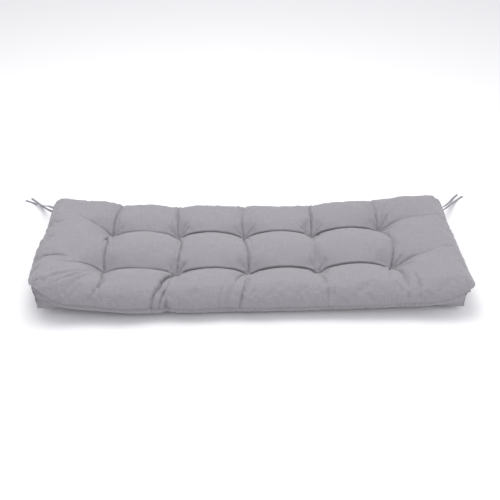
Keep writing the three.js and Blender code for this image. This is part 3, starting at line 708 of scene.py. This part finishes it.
def cover_points(cover):
    """All the points of a cover: the top, then the bottom, then the inner lines of the boxing."""
    return np.vstack([
        cover.top.reshape(-1, 3), cover.under.reshape(-1, 3), cover.boxing[:, 1:-1].reshape(-1, 3),
    ])


def bottom_faces(cover):
    """The bottom panel's faces: the coarse cells, with the rim's finer points in the edges that lie on it."""
    last_i, last_j = cover.shape[0] - 1, cover.shape[1] - 1
    step = cover.finer
    faces = []
    for i in range(0, last_i, step):
        for j in range(0, last_j, step):
            left = range(j, j + step, 1 if i == 0 else step)
            back = range(i, i + step, 1 if j + step == last_j else step)
            right = range(j + step, j, -1 if i + step == last_i else -step)
            front = range(i + step, i, -1 if j == 0 else -step)
            ways = [(i, n) for n in left] + [(n, j + step) for n in back]
            ways += [(i + step, n) for n in right] + [(n, j) for n in front]
            faces.append([a * cover.shape[1] + b for a, b in ways])
    return faces


def cover_faces(cover):
    """Faces and the places of their corners on the cloth, in the order of cover_points."""
    across = cover.shape[1]
    size = cover.shape[0] * across
    index = np.arange(size).reshape(cover.shape)
    cells = [index[:-1, :-1], index[1:, :-1], index[1:, 1:], index[:-1, 1:]]
    top = np.stack(cells, axis=-1).reshape(-1, 4)
    under = bottom_faces(cover)
    rim = cover.rim[:, 0] * across + cover.rim[:, 1]
    inner = cover.boxing_steps - 1
    lines = 2 * size + np.arange(len(rim) * inner).reshape(len(rim), inner)
    lines = np.hstack([rim[:, None], lines, rim[:, None] + size])
    lines = np.vstack([lines, lines[:1]])
    here, beside = lines[:-1], lines[1:]
    strip = np.stack([here[:, :-1], here[:, 1:], beside[:, 1:], beside[:, :-1]], axis=-1).reshape(-1, 4)
    place = np.stack([cover.place_x, cover.place_y], axis=-1).reshape(-1, 2)
    under_place = cover.under[..., :2].reshape(-1, 2) + (0, CUT["under"])
    cut_drop = cover.boxing_share * CUT["boxing_height"] + CUT["boxing"]
    cut = np.stack(np.meshgrid(cover.rim_run, cut_drop, indexing="ij"), axis=-1)
    strip_uv = np.stack([cut[:-1, :-1], cut[:-1, 1:], cut[1:, 1:], cut[1:, :-1]], axis=2)
    under_corners = [n for face in under for n in face]
    uvs = np.vstack([place[top].reshape(-1, 2), under_place[under_corners], strip_uv.reshape(-1, 2)])
    faces = top.tolist() + [[n + size for n in face] for face in under] + strip.tolist()
    return faces, uvs


def finer_values(values, axis, finer, closed=False):
    """The same values at finer steps along one axis, on a smooth curve through the ones there are."""
    v = np.moveaxis(values, axis, 0)
    ends = (v[-1:], v[:2]) if closed else (v[:1], v[-1:])
    p = np.concatenate([ends[0], v, ends[1]])
    count = len(v) if closed else len(v) - 1
    before, here, after, beyond = (p[k:k + count] for k in range(4))
    out = np.empty((count * finer, *v.shape[1:]))
    for k in range(finer):
        t = k / finer
        out[k::finer] = 0.5 * (
            2 * here + (after - before) * t
            + (2 * before - 5 * here + 4 * after - beyond) * t ** 2
            + (3 * here - before - 3 * after + beyond) * t ** 3
        )
    return np.moveaxis(out if closed else np.concatenate([out, v[-1:]]), 0, axis)


# The filling presses the cloth out between the stitches and the seams, and the cloth, cut a little
# larger than its filling, wrinkles: a short simulation on the coarser cover gives how far it moves.
FILLING = {"spare_cloth": 0.020, "frames": 20, "farthest": 0.004}
CLOTH = {
    "quality": 6, "mass": 0.2, "tension_stiffness": 20, "compression_stiffness": 12, "shear_stiffness": 6,
    "bending_stiffness": 0.15, "tension_damping": 12, "compression_damping": 12, "shear_damping": 8,
    "bending_damping": 0.6, "air_damping": 2, "use_pressure": True, "uniform_pressure_force": 2.0,
    "shrink_min": -FILLING["spare_cloth"], "vertex_group_mass": "held",
}
HOLD = {"tuft_from": 0.006, "tuft_to": 0.020, "seam": 0.9, "seam_reach": 0.050, "least": 0.001}


def hold_weights(cover):
    """How firmly each point is held: wholly at the stitches and under the cushion, partly at the seam."""
    away = nearest_tuft(cover.place_x, cover.place_y)
    held_by_tuft = 1 - smoothstep(away, HOLD["tuft_from"], HOLD["tuft_to"])
    held_by_seam = HOLD["seam"] * (1 - smoothstep(cover.from_seam, 0, HOLD["seam_reach"]))
    top = np.maximum(held_by_tuft, held_by_seam)
    drop = cover.boxing_share[1:-1]
    boxing = np.broadcast_to(lerp(HOLD["seam"], 1.0, drop ** 2), (len(cover.rim), len(drop)))
    return np.concatenate([top.ravel(), np.ones(cover.under.shape[:2]).ravel(), boxing.ravel()])


def filled(cover):
    """How far the filling moves each point of the cover, in the order of cover_points."""
    start = settle(cover_points(cover))
    mesh = bpy.data.meshes.new("loose_cover")
    mesh.from_pydata([tuple(point) for point in start], [], cover_faces(cover)[0])
    outward = np.empty(len(start) * 3, np.float32)
    mesh.vertex_normals.foreach_get("vector", outward)
    outward = outward.reshape(-1, 3)
    loose = show(bpy.data.objects.new("loose_cover", mesh))
    held = loose.vertex_groups.new(name="held")
    weights = hold_weights(cover)
    for n, weight in enumerate(weights):
        if weight > HOLD["least"]:
            held.add([n], float(weight), "REPLACE")
    filling = loose.modifiers.new("filling", "CLOTH")
    for name, value in CLOTH.items():
        setattr(filling.settings, name, value)
    filling.settings.effector_weights.gravity = 0
    filling.collision_settings.use_collision = False
    filling.point_cache.frame_start = 1
    filling.point_cache.frame_end = FILLING["frames"]
    for number in range(1, FILLING["frames"] + 1):
        scene.frame_set(number)
    result = loose.evaluated_get(bpy.context.evaluated_depsgraph_get())
    end = np.empty(len(start) * 3, np.float32)
    result.data.vertices.foreach_get("co", end)
    moved = end.reshape(-1, 3) - start
    scene.frame_set(1)
    bpy.data.objects.remove(loose)
    bpy.data.meshes.remove(mesh)
    far = np.linalg.norm(moved, axis=1, keepdims=True)
    moved *= np.minimum(1, FILLING["farthest"] / np.maximum(far, 1e-9))
    # The cover starts smaller by as much as it grows on average.
    free = 1 - weights
    growth = np.average((moved * outward).sum(axis=1), weights=free)
    return moved - outward * (free * growth)[:, None]


def refined(cover, moved, finer):
    """The moves of the coarser cover, spread over the points of a finer one."""
    size = cover.shape[0] * cover.shape[1]
    top = moved[:size].reshape(*cover.shape, 3)
    under = moved[size:2 * size].reshape(*cover.shape, 3)
    inner = moved[2 * size:].reshape(len(cover.rim), cover.boxing_steps - 1, 3)
    i, j = cover.rim.T
    boxing = np.concatenate([top[i, j][:, None], inner, under[i, j][:, None]], axis=1)
    top, under = (finer_values(finer_values(part, 0, finer), 1, finer) for part in (top, under))
    boxing = finer_values(finer_values(boxing, 0, finer, closed=True), 1, finer)
    return np.vstack([top.reshape(-1, 3), under.reshape(-1, 3), boxing[:, 1:-1].reshape(-1, 3)])


# Creases in the cloth, sharper than the simulation makes them. Each is a trough
# with a soft lip on one side: its depth at the start, the middle and the end in millimetres, its half
# width, the share of the depth that the lip rises by, and the places or the tuft that it passes.
CREASE = {"power": 1.6, "lip_place": 1.5, "lip_ends": 0.02, "reach": 4, "points": 25}
CREASES = [
    {"deep": (3, 4, 1), "half": 0.0048, "lip": -0.5,
     "via": [("back", 0), (-0.436, 0.130), (-0.430, 0.170), (-0.416, 0.215)]},
    {"deep": (2, 5, 4), "half": 0.0054, "lip": -0.4,
     "via": [(-0.019, 0.190), (-0.030, 0.225), (-0.046, 0.270)]},
    {"deep": (4, 3, 1), "half": 0.0048, "lip": 0.4,
     "via": [("back", 4), (0.428, 0.150), (0.405, 0.205), (0.380, 0.262)]},
    {"deep": (4, 3, 1), "half": 0.0048, "lip": -0.4,
     "via": [("back", 4), (0.452, 0.150), (0.473, 0.195), (0.500, 0.245)]},
    {"deep": (3, 2, 1), "half": 0.0044, "lip": -0.4,
     "via": [("back", 4), (0.462, 0.142), (0.500, 0.176), (0.535, 0.200)]},
    {"deep": (5, 9, 3), "half": 0.0050, "lip": 0.4,
     "via": [("back", 0), (-0.452, 0.070), (-0.459, 0.045), (-0.464, 0.015), (-0.466, -0.008)]},
    {"deep": (3, 4, 1), "half": 0.0048, "lip": -0.5,
     "via": [("back", 0), (-0.442, 0.050), (-0.436, 0.010), (-0.437, -0.030)]},
    {"deep": (2, 3, 2), "half": 0.0048, "lip": 0.35,
     "via": [("back", 1), (-0.228, 0.040), (-0.226, -0.005), (-0.231, -0.055)]},
    {"deep": (2, 3, 1), "half": 0.0048, "lip": 0.4,
     "via": [("back", 2), (0.000, 0.062), (0.010, 0.020), (0.012, -0.020)]},
    {"deep": (2, 6, 3), "half": 0.0070, "lip": 0.4,
     "via": [(-0.648, -0.246), (-0.609, -0.234), (-0.580, -0.213), (-0.548, -0.196), (-0.505, -0.172)]},
    {"deep": (3, 7, 3), "half": 0.0080, "lip": -0.6,
     "via": [(-0.590, -0.250), (-0.554, -0.226), (-0.520, -0.202), (-0.488, -0.164)]},
    {"deep": (2, 4, 2), "half": 0.0070, "lip": -0.6,
     "via": [(-0.547, -0.270), (-0.525, -0.242), (-0.503, -0.212), (-0.476, -0.180)]},
    {"deep": (1, 6, 4), "half": 0.0080, "lip": -0.4,
     "via": [(-0.656, -0.115), (-0.631, -0.105), (-0.598, -0.098), (-0.562, -0.102)]},
    {"deep": (2, 4, 1), "half": 0.0060, "lip": 0.8,
     "via": [(-0.684, -0.052), (-0.672, -0.024), (-0.653, 0.008)]},
    {"deep": (2, 4, 1), "half": 0.0060, "lip": 0.8,
     "via": [(-0.680, -0.142), (-0.668, -0.105), (-0.650, -0.076)]},
    {"deep": (2, 4, 1), "half": 0.0060, "lip": 0.8,
     "via": [(-0.674, -0.205), (-0.652, -0.178), (-0.630, -0.150)]},
    {"deep": (2, 4, 2), "half": 0.0048, "lip": -0.5,
     "via": [(-0.446, -0.190), (-0.447, -0.225), (-0.438, -0.290)]},
    {"deep": (3, 7, 5), "half": 0.0062, "lip": 0.6,
     "via": [(-0.236, -0.170), (-0.243, -0.225), (-0.260, -0.275), (-0.272, -0.330)]},
    {"deep": (2, 7, 13), "half": 0.0054, "lip": 0.3,
     "via": [(-0.244, -0.245), (-0.250, -0.300), (-0.259, -0.345), (-0.262, -0.372)]},
    {"deep": (2, 7, 4), "half": 0.0054, "lip": -0.5,
     "via": [(-0.008, -0.160), (-0.012, -0.215), (-0.020, -0.260), (-0.030, -0.310), (-0.034, -0.345)]},
    {"deep": (1, 5, 2), "half": 0.0054, "lip": 0.5,
     "via": [(-0.076, -0.200), (-0.082, -0.245), (-0.090, -0.290), (-0.088, -0.325)]},
    {"deep": (1, 2, 1), "half": 0.0054, "lip": 0.9,
     "via": [(0.226, -0.165), (0.235, -0.215), (0.237, -0.275), (0.235, -0.330)]},
    {"deep": (1, 2, 1), "half": 0.0054, "lip": 0.9,
     "via": [(0.240, -0.200), (0.251, -0.250), (0.252, -0.310)]},
    {"deep": (8, 6, 2), "half": 0.0060, "lip": -0.4,
     "via": [("front", 4), (0.438, -0.125), (0.428, -0.165), (0.424, -0.205)]},
    {"deep": (2, 6, 2), "half": 0.0058, "lip": 0.5,
     "via": [(0.494, -0.180), (0.504, -0.232), (0.500, -0.285)]},
]

# Short pleats that fan out of a tuft: compass direction in degrees from the right, and length.
FANS = [
    {"tuft": ("back", 0), "pleats": [(35, 0.060), (150, 0.055), (215, 0.050)], "deep": 3.0},
    {"tuft": ("back", 1), "pleats": [(38, 0.050), (62, 0.075), (118, 0.080), (143, 0.060)], "deep": 3.8},
    {"tuft": ("back", 2), "pleats": [(40, 0.065), (140, 0.050), (320, 0.045)], "deep": 3.3},
    {"tuft": ("back", 3), "pleats": [(33, 0.050), (130, 0.070), (152, 0.055), (300, 0.045)], "deep": 3.5},
    {"tuft": ("back", 4), "pleats": [(50, 0.075), (125, 0.080), (335, 0.070)], "deep": 3.3},
    {"tuft": ("front", 0), "pleats": [(200, 0.090), (222, 0.080), (305, 0.050)], "deep": 3.5},
    {"tuft": ("front", 1), "pleats": [(48, 0.055), (140, 0.045), (310, 0.060)], "deep": 3.3},
    {"tuft": ("front", 2), "pleats": [(130, 0.050), (322, 0.055), (228, 0.070)], "deep": 3.5},
    {"tuft": ("front", 3), "pleats": [(55, 0.050), (128, 0.045), (235, 0.060), (300, 0.060)], "deep": 3.3},
    {"tuft": ("front", 4), "pleats": [(40, 0.060), (235, 0.085), (275, 0.060), (330, 0.085)], "deep": 4.6},
]
FAN = {"half": 0.0044, "start": 0.008, "deeper_start": 1.3, "lip": 0.5, "points": 9}

# The top seam stands up as a ridge over a groove, and the boxing puckers under it.
SEAM = {"ridge": 0.0026, "groove": 0.0062, "pucker": 0.0014, "pucker_reach": 0.022, "pucker_pitch": 0.019}
BOXING = {"height": 0.045, "fade": 5}

# Gathers on the top panel beside each of its seams: how high, how far in they reach, from one to the
# next, and how far they slant. They rise from the seam and fade, and their waves are uneven.
GATHER_RISE = 2.7
GATHER_FADE = 2.2
RIPPLE = {"wander": 2.1, "wander_pitch": 1.7, "sharp": 2.5, "steady": 0.6, "swell": 0.4, "swell_pitch": 0.53}
GATHERS = {
    "left": {"high": 0.0020, "reach": 0.100, "pitch": 0.030, "slant": -0.55},
    "right": {"high": 0.0009, "reach": 0.050, "pitch": 0.031, "slant": -0.6},
    "front": {"high": 0.0008, "reach": 0.040, "pitch": 0.026, "slant": 0.35},
    "back": {"high": 0.0024, "reach": 0.060, "pitch": 0.029, "slant": 0.5},
}

# Folds of the boxing beside the front corners, where it is squashed: the corner, and how far along from
# it and how far under the top seam each one passes.
BOXING_FOLDS = [
    {"corner": -1, "deep": (5, 6, 1), "half": 0.011, "via": [(0.004, 0.032), (0.050, 0.028), (0.130, 0.022)]},
    {"corner": -1, "deep": (5, 6, 1), "half": 0.012, "via": [(0.002, 0.062), (0.050, 0.052), (0.100, 0.042)]},
    {"corner": 1, "deep": (4, 5, 1), "half": 0.010, "via": [(0.004, 0.026), (0.060, 0.024), (0.130, 0.020)]},
]
BOXING_FOLD = {"lip": 0.5, "points": 15}

# Soft lumps of the filling under the cloth: how wide and how high. They fade towards the top seam.
SLACK_FADE = 0.03
SLACK = [{"size": 0.090, "amount": 0.0012}, {"size": 0.030, "amount": 0.0003}]


def crease_height(x, y, places, deep, half, lip):
    """Height of one crease over the cloth beside it: a sharp trough and a soft lip on one side."""
    near = np.abs(x - places[:, 0].mean()) < np.ptp(places[:, 0]) / 2 + CREASE["reach"] * half
    near &= np.abs(y - places[:, 1].mean()) < np.ptp(places[:, 1]) / 2 + CREASE["reach"] * half
    height = np.zeros(x.shape)
    away, along, side = from_line(x[near], y[near], places)
    depth = along_share(along, *deep) / MM_IN_M
    past_end = ((along <= 0) | (along >= 1)) & (away > half)
    trough = -depth * np.clip(1 - away / half, 0, 1) ** CREASE["power"]
    bank = depth * abs(lip) * np.exp(-(((away - CREASE["lip_place"] * half) / half) ** 2))
    bank = np.where(past_end, 0, bank * (side * math.copysign(1, lip) > 0))
    between_ends = np.clip(along, CREASE["lip_ends"], 1 - CREASE["lip_ends"])
    height[near] = trough + bank * np.sin(math.pi * between_ends) ** 0.5
    return height


def hand_made_creases(x, y):
    pinches, height = np.zeros(x.shape), np.zeros(x.shape)
    for line, depths, kind, _ in valleys:
        pinch = [KINDS[kind]["pinch"] * MM_IN_M * depth for depth in depths]
        pinches = np.minimum(pinches, crease_height(x, y, line, pinch, KINDS[kind]["half"], 0))
    for crease in CREASES:
        line = smooth_curve([tuft_or_place(way) for way in crease["via"]], CREASE["points"])
        height += crease_height(x, y, line, crease["deep"], crease["half"], crease["lip"])
    for fan in FANS:
        start = tuft_or_place(fan["tuft"])
        depths = (fan["deep"] * FAN["deeper_start"], fan["deep"], 0)
        for degrees, length in fan["pleats"]:
            way = np.array([math.cos(math.radians(degrees)), math.sin(math.radians(degrees))])
            line = np.linspace(start + FAN["start"] * way, start + length * way, FAN["points"])
            height += crease_height(x, y, line, depths, FAN["half"], FAN["lip"])
    return pinches + height * beyond_seat(x, y, "creases")


def slack(points):
    """Small unevenness of loose filling under cloth."""
    return np.array([
        sum(each["amount"] * noise.noise(Vector(point) / each["size"]) for each in SLACK) for point in points
    ])


def ripples(run, pitch):
    """Uneven waves along a seam, between -1 and 1."""
    phase = run / pitch
    wave = np.sin(2 * math.pi * phase + RIPPLE["wander"] * np.sin(phase * RIPPLE["wander_pitch"]))
    swell = RIPPLE["steady"] + RIPPLE["swell"] * np.sin(phase * RIPPLE["swell_pitch"] + 1)
    return (2 * ((1 + wave) / 2) ** RIPPLE["sharp"] - 1) * swell


def puckers(run, from_seam):
    """Gathers of the boxing beside the top seam, which fade away from it."""
    waves = SEAM["pucker"] * ripples(run, SEAM["pucker_pitch"])
    return waves * np.exp(-((from_seam / SEAM["pucker_reach"]) ** 2))


def boxing_folds(cover):
    """Folds along the front boxing, for each of its inner points."""
    front = cover.shape[0]
    run = cover.rim_run[:front, None]
    drop = np.linalg.norm(cover.boxing[:front, -1] - cover.boxing[:front, 0], axis=1)[:, None]
    drop = cover.boxing_share[None, 1:-1] * drop
    height = np.zeros((len(cover.rim), drop.shape[1]))
    for fold in BOXING_FOLDS:
        along = run if fold["corner"] < 0 else run[-1] - run
        x, y = np.broadcast_arrays(along, drop)
        line = smooth_curve(fold["via"], BOXING_FOLD["points"])
        height[:front] += crease_height(x, y, line, fold["deep"], fold["half"], BOXING_FOLD["lip"])
    return height


def gathers(cover):
    """Gathers of the top panel beside its four seams."""
    x, y = cover.place_x, cover.place_y
    from_seam = {"left": x - x[:1], "right": x[-1:] - x, "front": y - y[:, :1], "back": y[:, -1:] - y}
    height = np.zeros(x.shape)
    for name, each in GATHERS.items():
        run, depth = (y, x) if name in ("left", "right") else (x, y)
        wave = ripples(run + each["slant"] * depth, each["pitch"])
        away = from_seam[name] / each["reach"]
        height += each["high"] * wave * GATHER_RISE * away * np.exp(-GATHER_FADE * away ** 2)
    return height.ravel()


# Light grey polyester in plain weave: matt, with a faint sheen of fuzz, and a fine grid of thicker
# threads. The real threads are 0.4 mm apart, too fine to show, so they are drawn 1.3 mm apart, and the
# thicker ones 2.2 mm wide.
cloth, cloth_shader = new_material("matt_plain_weave", 0.85, Sheen_Weight=0.2, Sheen_Roughness=0.6)
weave(cloth, cloth_shader, pale="#949096", dark="#88848a", thread=0.0013, slub=0.0022)
FINER = 3
fine = Cover(FINER)
points = settle(cover_points(fine))
coarse = Cover(1)
points += refined(coarse, filled(coarse), FINER)
points[:, 2] = np.maximum(points[:, 2], 0)
points += PATTERN_MIDDLE
faces, uvs = cover_faces(fine)
used = np.unique(np.concatenate([np.array(face) for face in faces]))
place_of = np.zeros(len(points), int)
place_of[used] = np.arange(len(used))
faces = [place_of[face].tolist() for face in faces]
cushion = mesh_with_uv("filled_cover", points[used], faces, uvs, cloth)

# The creases, the seam's ridge and its puckers move the points along the cloth's own normals.
normals = np.empty(len(used) * 3, np.float32)
cushion.data.vertex_normals.foreach_get("vector", normals)
outward = np.zeros(points.shape)
outward[used] = normals.reshape(-1, 3)
raised = slack(points)
size = fine.shape[0] * fine.shape[1]
raised[:size] *= smoothstep(fine.from_seam.ravel(), 0, SLACK_FADE)
raised[:size] += hand_made_creases(fine.place_x.ravel(), fine.place_y.ravel()) + gathers(fine)
raised[size:2 * size] = 0
on_rim = fine.rim[:, 0] * fine.shape[1] + fine.rim[:, 1]
raised[on_rim] += SEAM["ridge"]
inner = fine.boxing_steps - 1
strip = raised[2 * size:].reshape(len(fine.rim), inner)
strip[:, 0] -= SEAM["groove"]
share_down = fine.boxing_share[None, 1:-1]
strip += puckers(fine.rim_run[:-1, None], share_down * BOXING["height"])
strip += boxing_folds(fine)
strip *= np.clip((1 - share_down) * BOXING["fade"], 0, 1)
points += outward * raised[:, None]
points[:, 2] = np.maximum(points[:, 2], 0)
cushion.data.vertices.foreach_set("co", points[used].astype(np.float32).ravel())
cushion.data.update()
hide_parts("cushion")
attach(cushion, "root")

# The tuft threads
# Each tuft is a short stitch of three strands of twisted polyester thread, through the whole cushion.
# Its ends dive into the cloth, and the twist catches the light as a pale dot in the pit of the tuft.
STITCH = {"Length": 0.0086, "Twist Radius": 0.00052, "Strand Radius": 0.00048, "Turns": 2.6, "Strands": 3,
          "Dip": 0.0016}
DIP_POWER = 4
ASKEW = (0.06, 0.06, 0.35)

# Twisted polyester: paler and a little shinier than the cloth, and mottled by its fibres.
thread, thread_shader = new_material("twisted_polyester_thread", 0.6, Sheen_Weight=0.1)
place = add_node(thread.node_tree, "ShaderNodeTexCoord").outputs["Object"]
fibres = add_node(thread.node_tree, "ShaderNodeTexNoise", [("Vector", place)], Scale=2600.0, Detail=3.0)
fibres = fibres.outputs["Fac"]
fibre_tint = add_node(thread.node_tree, "ShaderNodeMixRGB", [("Fac", fibres)], Color1=linear("#85818a"),
                      Color2=linear("#aeaab2"))
fibre_bump = add_node(thread.node_tree, "ShaderNodeBump", [("Height", fibres)], Strength=0.4,
                      Distance=0.0001)
thread.node_tree.links.new(fibre_tint.outputs[0], thread_shader.inputs["Base Color"])
thread.node_tree.links.new(fibre_bump.outputs[0], thread_shader.inputs["Normal"])

stitching = bpy.data.node_groups.new("tuft_stitches", "GeometryNodeTree")
stitching.interface.new_socket("Places", in_out="INPUT", socket_type="NodeSocketGeometry")
for name, value in STITCH.items():
    kind = "NodeSocketInt" if isinstance(value, int) else "NodeSocketFloat"
    stitching.interface.new_socket(name, in_out="INPUT", socket_type=kind)
stitching.interface.new_socket("Thread", in_out="INPUT", socket_type="NodeSocketMaterial")
stitching.interface.new_socket("Stitches", in_out="OUTPUT", socket_type="NodeSocketGeometry")

given = add_node(stitching, "NodeGroupInput").outputs
helix = add_node(stitching, "GeometryNodeCurveSpiral", [
    ("Rotations", given["Turns"]), ("Start Radius", given["Twist Radius"]),
    ("End Radius", given["Twist Radius"]), ("Height", given["Length"])], Resolution=10)
strand_starts = add_node(stitching, "GeometryNodePoints", [("Count", given["Strands"])])
number = add_node(stitching, "GeometryNodeInputIndex")
share = add_node(stitching, "ShaderNodeMath", [(0, number), (1, given["Strands"])], operation="DIVIDE")
turn = add_node(stitching, "ShaderNodeMath", [(0, share), (1, 2 * math.pi)], operation="MULTIPLY")
turn_round = add_node(stitching, "ShaderNodeCombineXYZ", [("Z", turn)])
strands = add_node(stitching, "GeometryNodeInstanceOnPoints", [
    ("Points", strand_starts), ("Instance", helix), ("Rotation", turn_round)])
back_half = add_node(stitching, "ShaderNodeMath", [(0, given["Length"]), (1, -0.5)], operation="MULTIPLY")
to_middle = add_node(stitching, "ShaderNodeCombineXYZ", [("Y", back_half)])
laid_down = add_node(stitching, "GeometryNodeTransform", [
    ("Geometry", strands), ("Translation", to_middle)], Rotation=(-math.pi / 2, 0, 0))
lines = add_node(stitching, "GeometryNodeRealizeInstances", [("Geometry", laid_down)])
where = add_node(stitching, "GeometryNodeInputPosition")
parts = add_node(stitching, "ShaderNodeSeparateXYZ", [("Vector", where)])
to_end = add_node(stitching, "ShaderNodeMath", [(0, parts.outputs["Y"]), (1, back_half)], operation="DIVIDE")
steep = add_node(stitching, "ShaderNodeMath", [(0, to_end), (1, DIP_POWER)], operation="POWER")
drop_down = add_node(stitching, "ShaderNodeMath", [(0, steep), (1, given["Dip"])], operation="MULTIPLY")
downwards = add_node(stitching, "ShaderNodeMath", [(0, drop_down), (1, -1)], operation="MULTIPLY")
dip = add_node(stitching, "ShaderNodeCombineXYZ", [("Z", downwards)])
diving = add_node(stitching, "GeometryNodeSetPosition", [("Geometry", lines), ("Offset", dip)])
round_section = add_node(stitching, "GeometryNodeCurvePrimitiveCircle", [
    ("Radius", given["Strand Radius"])], Resolution=6)
strand_mesh = add_node(stitching, "GeometryNodeCurveToMesh", [
    ("Curve", diving), ("Profile Curve", round_section)], Fill_Caps=True)
askew = add_node(stitching, "FunctionNodeRandomValue", [
    ("Min", [-most for most in ASKEW]), ("Max", ASKEW), ("Seed", 5)], data_type="FLOAT_VECTOR")
stitches = add_node(stitching, "GeometryNodeInstanceOnPoints", [
    ("Points", given["Places"]), ("Instance", strand_mesh), ("Rotation", askew)])
joined = add_node(stitching, "GeometryNodeRealizeInstances", [("Geometry", stitches)])
dyed = add_node(stitching, "GeometryNodeSetMaterial", [("Geometry", joined), ("Material", given["Thread"])])
add_node(stitching, "NodeGroupOutput", [(0, dyed)])

tuft_nodes = [f"tuft_{row}_{n}" for row in ("back", "front") for n in range(1, 6)]
middles = [np.mean(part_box(name), axis=0) for name in tuft_nodes]
places_mesh = bpy.data.meshes.new("tuft_places")
places_mesh.from_pydata([tuple(middle) for middle in middles], [], [])
places = show(bpy.data.objects.new("tuft_places", places_mesh))
sewn = places.modifiers.new("stitches", "NODES")
sewn.node_group = stitching
for socket in stitching.interface.items_tree:
    if socket.in_out == "INPUT" and socket.name in STITCH:
        sewn[socket.identifier] = STITCH[socket.name]
    elif socket.name == "Thread":
        sewn[socket.identifier] = thread
evaluated = places.evaluated_get(bpy.context.evaluated_depsgraph_get())
threads_mesh = bpy.data.meshes.new_from_object(evaluated)
bpy.data.objects.remove(places)
threads = show(bpy.data.objects.new("tuft_threads", threads_mesh))
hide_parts(*tuft_nodes)
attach(threads, "root")
